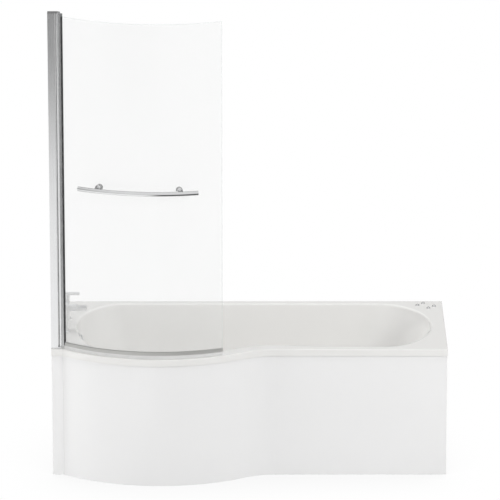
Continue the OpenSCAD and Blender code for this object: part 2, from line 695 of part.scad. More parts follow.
module trap() color([0.94, 0.94, 0.93]) translate([waste_px, mid_y, 0]) difference() {
    union() {
        trap_route(trap_r);
        translate([0, 0, trap_top - 16]) cylinder(r = spigot_r + trap_wall, h = 16, $fn = 64);
        translate([0, outlet_y, arm_z]) rotate([-90, 0, 0])
            cylinder(r = outlet_r + trap_wall, h = outlet_l, $fn = 64);
    }
    trap_route(trap_bore);
    translate([0, 0, body_z - spigot_h]) cylinder(r = spigot_r + fit, h = 40, $fn = 64);
    translate([0, outlet_y + outlet_stop, arm_z]) rotate([-90, 0, 0])
        cylinder(r = outlet_r, h = outlet_l, $fn = 64);
}

// A coupling nut with ribs for grip
module coupling_nut(r_in, r_out, h) difference() {
    union() {
        cylinder(r = r_out - 1.5, h = h, $fn = 64);
        for (a = [0:30:330]) rotate([0, 0, a]) translate([r_out - 2.4, -2.5, 0]) cube([2.4, 5, h]);
    }
    translate([0, 0, -1]) cylinder(r = r_in, h = h + 2, $fn = 64);
}

module trap_nut() color([0.94, 0.94, 0.93]) translate([waste_px, mid_y, trap_top - 14])
    coupling_nut(spigot_r + trap_wall, spigot_r + trap_wall + nut_over, 14);

module outlet_nut() color([0.94, 0.94, 0.93]) translate([waste_px, mid_y + outlet_y + outlet_l - 20, arm_z])
    rotate([-90, 0, 0]) coupling_nut(outlet_r + trap_wall, outlet_r + trap_wall + nut_over, 18);

// ---- Tap ----

column_r = column_dia / 2;
bridge_z = rim_h + bridge_h;
column_top = rim_h + column_h;
tip_r = 6;         // rounding of the spout's two corners
valve_r = column_r - 3;
valve_h = 40;
spindle_r = 4;
outlet_hole_r = 9;
outlet_in = 18;    // middle of the outlet from the spout's tip
bar_half = spout_t * 0.8;
tail_bore_r = 8;
cold_y = tap_pitch / 2;
hot_y = -cold_y;
module at_taps() for (y = [hot_y, cold_y]) translate([tap_px, mid_y + y, rim_h]) children();

module tap_body() color([0.80, 0.81, 0.83]) translate([tap_px, mid_y, 0]) difference() {
    union() {
        for (y = [hot_y, cold_y]) translate([0, y, rim_h]) cylinder(r = column_r, h = column_h, $fn = 64);
        translate([-bar_half, hot_y, bridge_z - spout_t / 2]) cube([2 * bar_half, tap_pitch, spout_t]);
        translate([0, 0, bridge_z - spout_t / 2]) linear_extrude(spout_t) {
            translate([-bar_half, -spout_w / 2]) square([spout_l + bar_half - tip_r, spout_w]);
            translate([spout_l - 2 * tip_r, -spout_w / 2 + tip_r]) square([2 * tip_r, spout_w - 2 * tip_r]);
            for (y = [-spout_w / 2 + tip_r, spout_w / 2 - tip_r])
                translate([spout_l - tip_r, y]) circle(r = tip_r, $fn = 32);
        }
    }
    for (y = [hot_y, cold_y]) {
        translate([0, y, column_top - valve_h]) cylinder(r = valve_r, h = valve_h + 1, $fn = 48);
        translate([0, y, rim_h - 1]) cylinder(r = tail_bore_r, h = column_h - valve_h + 1, $fn = 48);
    }
    translate([spout_l - outlet_in, 0, bridge_z - spout_t / 2 - 1])
        cylinder(r = outlet_hole_r, h = spout_t - 3, $fn = 48);
}

module spout_outlet() color([0.75, 0.76, 0.78])
    translate([tap_px + spout_l - outlet_in, mid_y, bridge_z - spout_t / 2 - 2]) difference() {
        cylinder(r = outlet_hole_r - fit, h = 9, $fn = 48);
        for (x = [-4, 0, 4])
            for (y = [-4, 0, 4]) translate([x, y, -1]) cylinder(r = 1.2, h = 20, $fn = 16);
    }

module tap_flanges() color([0.80, 0.81, 0.83]) at_taps() rotate_extrude($fn = 64)
    polygon([[column_r + fit, 0], [flange_dia / 2, 0], [flange_dia / 2, 2], [flange_dia / 2 - 3, 5],
        [column_r + fit, 6]]);

module tap_valves() color([0.80, 0.68, 0.35]) at_taps() translate([0, 0, column_h - valve_h])
    ring(valve_r - fit, spindle_r + run, valve_h - 1);

module spindle(y) color([0.80, 0.68, 0.35]) translate([tap_px, mid_y + y, column_top - valve_h + 6])
    cylinder(r = spindle_r, h = valve_h - 6 + gap + 5, $fn = 32);

// A lever is a short hub on the column and a round bar with domed ends, pointing to +X at rest
lever_hub_h = 10;
lever_end = 3;     // taper at the tip of a lever
module lever(y) color([0.80, 0.81, 0.83]) translate([tap_px, mid_y + y, column_top + gap]) difference() {
    union() {
        cylinder(r = column_r, h = lever_hub_h - 2, $fn = 64);
        translate([0, 0, lever_hub_h - 2]) cylinder(r1 = column_r, r2 = column_r - 2, h = 2, $fn = 64);
        translate([-column_r, 0, lever_hub_h]) rotate([0, 90, 0]) {
            cylinder(d = lever_dia, h = lever_l + column_r - lever_end, $fn = 48);
            translate([0, 0, lever_l + column_r - lever_end])
                cylinder(r1 = lever_dia / 2, r2 = lever_dia / 2 - 2, h = lever_end, $fn = 48);
        }
    }
    translate([0, 0, -1]) cylinder(r = spindle_r, h = 6, $fn = 32);
}
module hot_lever() lever(hot_y);
module cold_lever() lever(cold_y);
module hot_spindle() spindle(hot_y);
module cold_spindle() spindle(cold_y);

washer_t = 3;
backnut_h = 10;
nut_bottom = shell_t + washer_t + backnut_h;
connector_cut = 0.5;   // a tail is cut back below its nut, where the tap connector goes on
module tap_tails() color([0.80, 0.68, 0.35]) at_taps() {
    translate([0, 0, -nut_bottom]) ring(tail_dia / 2, tail_bore_r, nut_bottom);
    translate([0, 0, -tail_l]) ring(tail_dia / 2 - connector_cut, tail_bore_r, tail_l - nut_bottom);
}

module tap_washers() color([0.15, 0.15, 0.15]) at_taps() translate([0, 0, -shell_t - washer_t])
    ring(tail_dia / 2 + 6, tail_dia / 2, washer_t);
module tap_backnuts() color([0.80, 0.68, 0.35]) at_taps() translate([0, 0, -nut_bottom])
    difference() {
        cylinder(r = tail_dia / 2 + 6.5, h = backnut_h, $fn = 6);
        translate([0, 0, -1]) cylinder(d = tail_dia, h = backnut_h + 2, $fn = 64);
    }

// ---- Studs at the back corner of the head end ----

stud_turn = 42;    // the rectangle's long side runs towards the corner of the head end and the front
stud_in = 73.5;    // centre of the rectangle from both edges of the rim
module deck_studs() color([0.80, 0.81, 0.83]) translate([half_l - stud_in, back_y - stud_in, rim_h])
    rotate([0, 0, -stud_turn]) for (x = [-stud_l / 2, stud_l / 2]) for (y = [-stud_w / 2, stud_w / 2])
        translate([x, y, 0]) rotate_extrude($fn = 48) polygon([[0, 0], [stud_dia / 2, 0], [stud_dia / 2, 2],
            [stud_dia / 2 - 2, 5], [stud_dia / 2 - 5, 7], [0, 7.6]]);

// ---- Screen ----

cap_t = 3;
nose_t = 3;        // front of the adjusting profile, which covers the channel's edges
block_h = 6;
channel_z = rim_h;
pivot_px = -half_l + channel_d + 2 + post_dia / 2;
pivot_a = asin((pivot_px - bow_cx) / glass_r);
pivot_py = bow_cy - glass_r * cos(pivot_a);
post_r = post_dia / 2;
post_z = channel_z + block_h + 1;
post_top = screen_z - cap_t - 1;
pin_r = pin_dia / 2;
post_wall = 2;
bush_r = post_r - post_wall;
bush_h = 20;
slot_w = glass_t + 3;
slot_x0 = post_r + 1;
slot_x1 = post_r + 13;
glass_a0 = pivot_a + asin((slot_x0 + 1.5) / glass_r);
foot_t = 2;
glass_z = rim_h + seal_h + foot_t;
glass_top = screen_z - glass_drop;

// Two pairs of screw holes through the back of the channel, near its ends
wall_hole_r = 2.5;
wall_hole_in = 90;
wall_hole_pitch = 400;
screw_zs = [rim_h + wall_hole_in, rim_h + wall_hole_in + wall_hole_pitch,
    screen_z - wall_hole_in - wall_hole_pitch, screen_z - wall_hole_in];

module at_pivot() translate([pivot_px, pivot_py, 0]) rotate([0, 0, pivot_a]) children();

module wall_channel() color([0.70, 0.71, 0.73]) difference() {
    translate([-half_l, pivot_py - channel_w / 2, channel_z])
        cube([channel_d - nose_t, channel_w, screen_h - cap_t]);
    translate([-half_l + channel_t, pivot_py - channel_w / 2 + channel_t, channel_z - 1])
        cube([channel_d, channel_w - 2 * channel_t, screen_h]);
    for (z = screw_zs) translate([-half_l - 1, pivot_py, z]) rotate([0, 90, 0])
        cylinder(r = wall_hole_r, h = 10, $fn = 24);
}

inner_w = channel_w - 2 * channel_t - 2 * fit;
nose_x = -half_l + channel_d;
profile_in = 10;   // back edge of the adjusting profile, from the wall
module adjusting_profile() color([0.74, 0.75, 0.77]) difference() {
    union() {
        translate([-half_l + profile_in, pivot_py - inner_w / 2, channel_z])
            cube([channel_d - profile_in, inner_w, screen_h - cap_t]);
        translate([nose_x - nose_t, pivot_py - channel_w / 2, channel_z])
            cube([nose_t, channel_w, screen_h - cap_t]);
    }
    translate([-half_l + profile_in - 1, pivot_py - inner_w / 2 + channel_t, channel_z - 1])
        cube([channel_d - profile_in + 1 - nose_t, inner_w - 2 * channel_t, screen_h]);
}

adjust_zs = [for (k = [0.08, 0.5, 0.92]) rim_h + screen_h * k];
module adjusting_screws() color([0.75, 0.76, 0.78]) for (z = adjust_zs)
    translate([-half_l + 18, pivot_py + channel_w / 2, z]) rotate([-90, 0, 0])
        cylinder(r1 = 3.5, r2 = 2.5, h = 2, $fn = 32);

// The cap and the block close the profiles and hold the pins over and under the post
module end_plate(h) difference() {
    union() {
        translate([-half_l, pivot_py - channel_w / 2, 0]) cube([pivot_px + half_l, channel_w, h]);
        translate([pivot_px, pivot_py, 0]) cylinder(r = post_r + 1, h = h, $fn = 64);
    }
    translate([pivot_px, pivot_py, -1]) cylinder(r = pin_r, h = h + 2, $fn = 32);
}
module top_cap() color([0.72, 0.73, 0.75]) translate([0, 0, screen_z - cap_t]) end_plate(cap_t);
module bottom_block() color([0.72, 0.73, 0.75]) difference() {
    translate([0, 0, channel_z]) end_plate(block_h);
    translate([-half_l - 1, pivot_py - channel_w / 2 - 1, channel_z - 1])
        cube([channel_d + 1 + gap, channel_w + 2, block_h + 2]);
}

module pivot_pins() color([0.75, 0.76, 0.78]) translate([pivot_px, pivot_py, 0]) {
    translate([0, 0, channel_z]) cylinder(r = pin_r, h = block_h + bush_h, $fn = 32);
    translate([0, 0, post_top - bush_h + 1])
        cylinder(r = pin_r, h = screen_z - post_top + bush_h - 1, $fn = 32);
}

module pivot_post() color([0.80, 0.81, 0.83]) at_pivot() difference() {
    translate([0, 0, post_z]) union() {
        cylinder(r = post_r, h = post_top - post_z, $fn = 64);
        translate([0, -slot_w / 2 - 2, 0]) cube([slot_x1, slot_w + 4, post_top - post_z]);
    }
    translate([0, 0, post_z - 1]) cylinder(r = bush_r, h = post_top - post_z + 2, $fn = 48);
    translate([slot_x0, -slot_w / 2, post_z - 1]) cube([slot_x1, slot_w, post_top - post_z + 2]);
}

module pivot_bushes() color([0.93, 0.93, 0.92]) translate([pivot_px, pivot_py, 0])
    for (z = [post_z, post_top - bush_h]) translate([0, 0, z]) ring(bush_r - run, pin_r + run, bush_h);

module glass_gasket() color([0.90, 0.91, 0.91]) at_pivot() difference() {
    translate([slot_x0, -slot_w / 2, glass_z]) cube([slot_x1 - slot_x0 + 2, slot_w, glass_top - glass_z]);
    rotate([0, 0, -pivot_a]) translate([-pivot_px, -pivot_py, 0])
        bow_sweep(glass_a0 - 0.01, glass_a0 + 5) translate([glass_r - glass_t / 2 - seat, glass_z - 1])
            square([glass_t + 2 * seat, glass_top - glass_z + 2]);
}

boss_a = [rail_mid - boss_half, rail_mid + boss_half];
rail_z = rim_h + rail_h;
bolt_r = 4;
sleeve_gap = 2;
module at_bosses() for (a = boss_a) bow_place(a, glass_r, rail_z) rotate([0, 90, 0]) children();

module glass() color([0.85, 0.93, 0.92, 0.35]) difference() {
    bow_sweep(glass_a0, glass_end)
        translate([glass_r - glass_t / 2, glass_z]) square([glass_t, glass_top - glass_z]);
    at_bosses() translate([0, 0, -20]) cylinder(r = bolt_r + sleeve_gap, h = 40, $fn = 32);
}

foot_a0 = pivot_a + asin((slot_x1 + 3) / glass_r);
module bottom_rail() color([0.62, 0.63, 0.65]) bow_sweep(foot_a0, glass_end)
    translate([glass_r, rim_h + seal_h]) difference() {
        translate([-glass_t / 2 - foot_t, 0]) square([glass_t + 2 * foot_t, foot_rail_h]);
        translate([-glass_t / 2 - seat, foot_t]) square([glass_t + 2 * seat, foot_rail_h]);
    }

module bottom_seal() color([0.85, 0.86, 0.86, 0.6]) bow_sweep(foot_a0, glass_end)
    translate([glass_r, rim_h]) polygon([
        [-3.5, seal_h], [3.5, seal_h], [2.2, seal_h - 5], [4.2, gap + 1], [4.2, gap], [2.6, gap],
        [0, seal_h - 8], [-2.6, gap], [-4.2, gap], [-4.2, gap + 1], [-2.2, seal_h - 5]]);

module towel_rail() color([0.80, 0.81, 0.83]) difference() {
    bow_sweep(rail_mid - rail_half, rail_mid + rail_half)
        translate([towel_r, rail_z]) circle(d = rail_dia, $fn = 48);
    at_bosses() translate([0, 0, rail_off - rail_dia / 2 - 1])
        cylinder(r = bolt_r, h = rail_dia / 2 + 3, $fn = 32);
}

washer_h = 1;
boss_r = boss_dia / 2;
// A flat washer on the hollow side of the glass bears on it with its edge, and so stands off a little
inner_z = -glass_t / 2 - washer_h - pow(boss_r, 2) / 2 / (glass_r - glass_t);
module rail_washers() color([0.90, 0.90, 0.90, 0.8]) at_bosses() for (z = [glass_t / 2, inner_z])
    translate([0, 0, z]) ring(boss_r - 1, bolt_r + fit, washer_h);

module rail_standoffs() color([0.80, 0.81, 0.83]) at_bosses() difference() {
    translate([0, 0, glass_t / 2 + washer_h]) rotate_extrude($fn = 64) polygon([
        [bolt_r + fit, 0], [boss_r, 0], [boss_r, 6], [boss_r - 1.5, 7.5], [9, 9], [7, 14],
        [7, rail_off - glass_t / 2 - washer_h], [bolt_r + fit, rail_off - glass_t / 2 - washer_h]]);
    rotate([0, -90, 0]) translate([-glass_r, 0, 0]) rotate_extrude($fn = 360)
        translate([towel_r, 0]) circle(r = rail_dia / 2, $fn = 48);
}

bolt_in = 8;
module rail_bolts() color([0.75, 0.76, 0.78]) at_bosses()
    translate([0, 0, inner_z - bolt_in + 2])
        cylinder(r = bolt_r, h = rail_off - inner_z + bolt_in - 2, $fn = 32);

module rail_back_discs() color([0.80, 0.81, 0.83]) at_bosses() translate([0, 0, inner_z - bolt_in])
    difference() {
        rotate_extrude($fn = 64)
            polygon([[0, 0], [boss_r - 2, 0], [boss_r, 2], [boss_r, bolt_in], [0, bolt_in]]);
        translate([0, 0, 2]) cylinder(r = bolt_r, h = bolt_in, $fn = 32);
    }

bath_shell();
baseboard();
rim_rail();
cradle_bars();
cradle_screws();
threaded_legs();
leg_nuts();
feet();
wall_brackets();
bracket_screws();
front_panel();
floor_batten();
panel_blocks();
waste_flange();
waste_gasket();
waste_body();
plug();
plug_seal();
overflow_plate();
overflow_knob();
overflow_body();
overflow_gasket();
overflow_hose();
lift_cable();
trap();
trap_nut();
outlet_nut();
tap_body();
tap_flanges();
tap_valves();
hot_lever();
cold_lever();
hot_spindle();
cold_spindle();
spout_outlet();
tap_tails();
tap_washers();
tap_backnuts();
deck_studs();
wall_channel();
adjusting_profile();
adjusting_screws();
top_cap();
bottom_block();
pivot_pins();
pivot_post();
pivot_bushes();
glass_gasket();
glass();
bottom_rail();
bottom_seal();
towel_rail();
rail_standoffs();
rail_bolts();
rail_back_discs();
rail_washers();
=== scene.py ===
import json
from math import asin, atan, cos, pi, radians, sin, sqrt

import bmesh
import bpy
from bpy.props import FloatProperty, FloatVectorProperty, IntProperty, PointerProperty
from mathutils import Matrix, Vector


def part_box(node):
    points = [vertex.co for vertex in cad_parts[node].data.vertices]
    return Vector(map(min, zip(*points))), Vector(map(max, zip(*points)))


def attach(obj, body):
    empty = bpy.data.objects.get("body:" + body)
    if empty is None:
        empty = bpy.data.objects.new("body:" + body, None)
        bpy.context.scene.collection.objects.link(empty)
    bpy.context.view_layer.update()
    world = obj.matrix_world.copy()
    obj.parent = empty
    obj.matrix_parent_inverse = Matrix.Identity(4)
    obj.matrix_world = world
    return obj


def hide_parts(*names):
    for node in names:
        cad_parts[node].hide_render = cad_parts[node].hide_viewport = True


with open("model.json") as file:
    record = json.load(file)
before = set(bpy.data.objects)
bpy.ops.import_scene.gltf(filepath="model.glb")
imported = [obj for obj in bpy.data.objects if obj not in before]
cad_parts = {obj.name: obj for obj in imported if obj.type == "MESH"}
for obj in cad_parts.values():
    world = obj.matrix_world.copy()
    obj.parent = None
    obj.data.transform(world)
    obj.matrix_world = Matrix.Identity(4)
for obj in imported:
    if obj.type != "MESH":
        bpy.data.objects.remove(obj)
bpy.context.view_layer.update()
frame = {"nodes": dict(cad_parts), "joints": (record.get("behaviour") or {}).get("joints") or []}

bl_info = {
    "name": "P shaped shower bath",
    "version": (1, 0, 0),
    "blender": (4, 5, 0),
    "location": "View3D > Sidebar > Shower bath",
    "description": "Dresses a p shaped shower bath with a curved screen, its tap, waste and studio",
    "category": "Object",
}

NODES = frame["nodes"]
SHELL_LOW, SHELL_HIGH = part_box("bath_shell")
GLASS_LOW, GLASS_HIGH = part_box("glass")


# ---- Sizes and colours that a user may change ----

def length(name, default, description):
    return FloatProperty(name=name, default=default, unit="LENGTH", min=0.0,
                         description=description)


def colour(name, default, description):
    return FloatVectorProperty(name=name, default=default, size=3, subtype="COLOR", min=0.0,
                               max=1.0, description=description)


def share(name, default, description):
    return FloatProperty(name=name, default=default, subtype="FACTOR", min=0.0, max=1.0,
                         description=description)


def power(name, default, description):
    return FloatProperty(name=name, default=default, min=0.0, unit="POWER", description=description)


def strength(name, default, description):
    return FloatProperty(name=name, default=default, min=0.0, description=description)


def count(name, default, least, most, description):
    return IntProperty(name=name, default=default, min=least, max=most, description=description)


class ShellSizes(bpy.types.PropertyGroup):
    """Sizes of the acrylic moulding. They repeat the solid's, so that the smooth skin lies on it"""

    bow_radius: length("Bow radius", 0.660, "Radius of the bow at the shower end")
    bow_depth: length("Bow depth", 0.150, "How far the bow stands out past the straight front")
    bow_crown: length("Bow crown", 0.465, "Distance of the bow's crown from the tap wall")
    waist_radius: length("Hollow bend", 0.250, "Radius of the hollow bend from bow to front")
    basin_depth: length("Basin depth", 0.400, "Depth of the basin below the rim")
    lip_height: length("Lip height", 0.030, "Height of the lip round the rim")
    skin: length("Thickness", 0.006, "Thickness of the acrylic with its backing")
    edge_radius: length("Edge radius", 0.003, "Radius along the upper edge of the rim")
    roll_radius: length("Roll radius", 0.010, "Radius of the rolled edge round the basin")
    bend_loop: length("Bend loop", 0.0012, "Distance of a ring of points from the bend beside it")
    rim_back: length("Rim at the back", 0.046, "Width of the rim along the wall")
    rim_tap: length("Rim at the tap end", 0.098, "Width of the rim at the tap end")
    rim_head: length("Rim at the head end", 0.063, "Width of the rim at the head end")
    rim_bow: length("Rim at the bow", 0.062, "Width of the rim round the bow")
    rim_waist: length("Rim at the hollow", 0.070, "Width of the rim at the hollow bend")
    rim_front: length("Rim at the front", 0.040, "Width of the rim along the straight front")
    rim_blend: length("Rim blend", 0.280, "Length over which the rim changes width")
    tap_round: length("Tap end round", 0.195, "Length of the rounded tap end")
    head_round: length("Head end round", 0.227, "Length of the rounded head end")
    side_lean: length("Side lean", 0.035, "How far the sides lean in")
    tap_lean: length("Tap end lean", 0.045, "How far the tap end leans in")
    back_lean: length("Backrest lean", 0.235, "How far the backrest leans in")
    floor_round: length("Floor rounding", 0.075, "Width of the rounding from floor to sides")
    rest_round: length("Backrest rounding", 0.110, "Width of the rounding from floor to backrest")
    waste_hole: length("Waste hole", 0.026, "Radius of the hole for the waste")
    overflow_hole: length("Overflow hole", 0.020, "Radius of the hole for the overflow")
    tap_hole: length("Tap hole", 0.014, "Radius of the two holes for the tap")
    stations: count("Fineness", 4, 1, 8, "Points round the bath for each point of the solid")
    steps: count("Depth steps", 40, 10, 80, "Rings between the rim and the floor of the basin")


class HoseSizes(bpy.types.PropertyGroup):
    """Sizes of the ribbed overflow hose and of the cable inside it"""

    diameter: length("Diameter", 0.031, "Diameter over the ribs")
    bore: length("Bore", 0.026, "Bore of the hose")
    bend: length("Bend", 0.110, "Radius of the bend")
    pitch: length("Rib pitch", 0.0045, "Distance from one rib to the next")
    rib: length("Rib height", 0.0016, "Depth of the valleys between ribs")
    spigot: length("Spigot wall", 0.002, "Wall of the spigots that hold the hose's ends")
    cable: length("Cable radius", 0.0016, "Radius of the lift cable")
    sides: count("Sides", 32, 8, 64, "Points round the hose")


class GlassSizes(bpy.types.PropertyGroup):
    """Sizes of the curved glass"""

    thickness: length("Thickness", 0.006, "Thickness of the toughened glass")
    radius: length("Radius", 0.642, "Radius of the middle of the glass")
    polish: length("Polished edge", 0.0008, "Width of the polished chamfer along each edge")
    bolt_hole: length("Bolt hole", 0.006, "Radius of the holes for the towel rail")
    steps: count("Steps", 96, 24, 180, "Strips round the bend")


class Finishes(bpy.types.PropertyGroup):
    """Colours and gloss of the finishes"""

    acrylic: colour("Acrylic", (0.802, 0.797, 0.783), "Gloss white acrylic of the bath")
    panel: colour("Panel", (0.842, 0.842, 0.842), "Gloss white acrylic of the front panel")
    resin: colour("Resin backing", (0.72, 0.69, 0.60), "Glass fibre and resin under the shell")
    chrome: colour("Chrome", (0.84, 0.845, 0.85), "Polished chrome")
    tap_chrome: colour("Tap chrome", (0.86, 0.865, 0.87), "Softer chrome of the tap")
    aluminium: colour("Aluminium", (0.87, 0.873, 0.878), "Satin aluminium profiles")
    # Painted shade: the rail's satin aluminium, made darker for the shade it sits in
    foot_rail: colour("Foot rail", (0.49, 0.49, 0.475), "Darker rail under the glass")
    zinc: colour("Zinc", (0.60, 0.61, 0.63), "Zinc-plated steel")
    brass: colour("Brass", (0.78, 0.58, 0.28), "Bare brass")
    timber: colour("Timber", (0.62, 0.43, 0.23), "Sawn softwood")
    chipboard: colour("Chipboard", (0.60, 0.45, 0.28), "Baseboard")
    black_plastic: colour("Black plastic", (0.020, 0.020, 0.022), "Moulded black plastic")
    white_plastic: colour("White plastic", (0.80, 0.80, 0.78), "Moulded white plastic")
    rubber: colour("Rubber", (0.016, 0.016, 0.017), "Black rubber")
    seal: colour("Seal", (0.78, 0.78, 0.775), "Clear soft seal")
    glass: colour("Glass", (0.74, 0.75, 0.747), "Clear glass")
    glass_edge: colour("Glass edge", (0.72, 0.83, 0.80), "Polished edge of the glass")
    glass_veil: share("Glass veil", 0.10, "How much the glass shows, seen straight on")
    glass_slant: share("Glass slant", 0.45, "How much the glass shows, seen along its face")
    gloss: share("Acrylic roughness", 0.10, "Roughness of the acrylic")


class Studio(bpy.types.PropertyGroup):
    """Camera, lamps, world and floor"""

    distance: length("Camera distance", 19.8801, "Camera distance in front of the bath's middle")
    height: length("Camera height", 6.8689, "Camera height above the floor")
    aside: length("Camera aside", 0.0020, "How far the camera stands to the right")
    tilt: FloatProperty(name="Camera tilt", default=radians(16.6084), subtype="ANGLE",
                        unit="ROTATION", description="How far the camera looks down")
    lens: FloatProperty(name="Lens", default=346.354, subtype="DISTANCE_CAMERA", unit="CAMERA",
                        description="Focal length on a 36 mm sensor")
    world: strength("World", 0.54, "Strength of the world's light")
    dim: strength("Dim sides", 0.30, "What gloss sees low down at the sides and behind")
    key: power("Key lamp", 187.0, "Power of the high lamp at the front right")
    top: power("Top lamp", 57.0, "Power of the lamp over the bath")
    side: power("Side lamp", 52.0, "Power of the low lamp at the left")
    rim: power("Rim lamp", 112.0, "Power of the low lamp at the left behind the bath")
    back: power("Back lamp", 154.0, "Power of the high lamp behind the bath")
    lamp_size: length("Lamp size", 2.5, "Diameter of each round lamp")
    aim: length("Lamp aim", 0.6, "Height over the floor that the lamps point at")
    floor: colour("Floor", (0.90, 0.90, 0.90), "Colour of the floor")
    floor_half: length("Floor size", 30.0, "Distance from the middle of the floor to its edges")
    shadow: share("Floor shadow", 0.12, "How dark the bath's shadow on the floor is")
    shadow_reach: length("Shadow reach", 0.5, "How far the shadow reaches over the floor")


# ---- Meshes ----

HOLE_SIDES = 64


def add_to_scene(name, data):
    """Makes an object of a mesh, a lamp or a camera."""
    made = bpy.data.objects.new(name, data)
    bpy.context.scene.collection.objects.link(made)
    return made


def new_piece(name, rings, body, node, joined=False):
    """Makes a piece from a stack of rings. It rides on the body and stands for the CAD node."""
    mesh = bpy.data.meshes.new(name)
    points = [point for ring in rings for point in ring]
    mesh.from_pydata(points, [], ring_faces(len(rings[0]), len(rings), joined))
    mesh.validate()
    recalculate_normals(mesh)
    piece = add_to_scene(name, mesh)
    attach(piece, body)
    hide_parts(node)
    return piece


def ring_faces(around, stacked, joined):
    """Faces between rings. The last ring is joined to the first, or both ends are closed."""
    faces = []
    for i in range(stacked if joined else stacked - 1):
        here, above = i * around, (i + 1) % stacked * around
        for j in range(around):
            after = (j + 1) % around
            faces.append((here + j, here + after, above + after, above + j))
    if joined:
        return faces
    last = (stacked - 1) * around
    return [tuple(reversed(range(around))), *faces, tuple(range(last, last + around))]


def recalculate_normals(mesh):
    """Turns every face outwards."""
    bm = bmesh.new()
    bm.from_mesh(mesh)
    bmesh.ops.recalc_face_normals(bm, faces=bm.faces)
    bm.to_mesh(mesh)
    bm.free()


def smooth_sharp(piece, limit):
    """Smooth shading, with edges above the angle kept sharp."""
    piece.data.shade_smooth()
    piece.data.set_sharp_from_angle(angle=limit)


def cut_holes(piece, cutters):
    """Cuts round holes: each cutter is (centre, axis, radius, depth either side)."""
    tools = []
    for centre, axis, radius, depth in cutters:
        turn = Vector(axis).to_track_quat("Z", "Y").to_matrix().to_4x4()
        bm = bmesh.new()
        bmesh.ops.create_cone(bm, cap_ends=True, segments=HOLE_SIDES, radius1=radius,
                              radius2=radius, depth=2 * depth,
                              matrix=Matrix.Translation(Vector(centre)) @ turn)
        mesh = bpy.data.meshes.new("hole")
        bm.to_mesh(mesh)
        bm.free()
        tools.append(add_to_scene("hole", mesh))
        cut = piece.modifiers.new("Hole", "BOOLEAN")
        cut.operation = "DIFFERENCE"
        cut.solver = "EXACT"
        cut.object = tools[-1]
    bake_modifiers(piece)
    for tool in tools:
        mesh = tool.data
        bpy.data.objects.remove(tool)
        bpy.data.meshes.remove(mesh)


def bake_modifiers(piece):
    """Turns a piece's modifiers into its mesh."""
    bpy.context.view_layer.update()
    evaluated = piece.evaluated_get(bpy.context.evaluated_depsgraph_get())
    mesh = bpy.data.meshes.new_from_object(evaluated)
    old, piece.data = piece.data, mesh
    piece.modifiers.clear()
    bpy.data.meshes.remove(old)
    mesh.name = piece.name


# ---- Materials ----

PATTERN_MIDDLE = (0.3, 0.7)  # where most of a noise pattern's values lie


class Nodes:
    """A node tree, with short calls that add nodes to it."""

    def __init__(self, tree):
        self.tree = tree

    def node(self, kind, inputs=(), **settings):
        """Adds a node. Each input is another node's output, or a number or colour."""
        made = self.tree.nodes.new(kind)
        for key, value in settings.items():
            setattr(made, key, value)
        for key, value in dict(inputs).items():
            if isinstance(value, bpy.types.NodeSocket):
                self.tree.links.new(value, made.inputs[key])
            else:
                made.inputs[key].default_value = value
        return made

    def run(self, value, start, stop, low, high, way="LINEAR"):
        """Runs from low at start to high at stop."""
        return self.node("ShaderNodeMapRange", {
            "Value": value, "From Min": start, "From Max": stop, "To Min": low, "To Max": high},
            interpolation_type=way).outputs["Result"]

    def smooth(self, value, start, stop, low, high):
        return self.run(value, start, stop, low, high, "SMOOTHSTEP")

    def math(self, operation, a, b):
        return self.node("ShaderNodeMath", {0: a, 1: b}, operation=operation).outputs[0]

    def either(self, switch, off, on):
        """One of two shaders."""
        return self.node("ShaderNodeMixShader", {0: switch, 1: off, 2: on}).outputs[0]


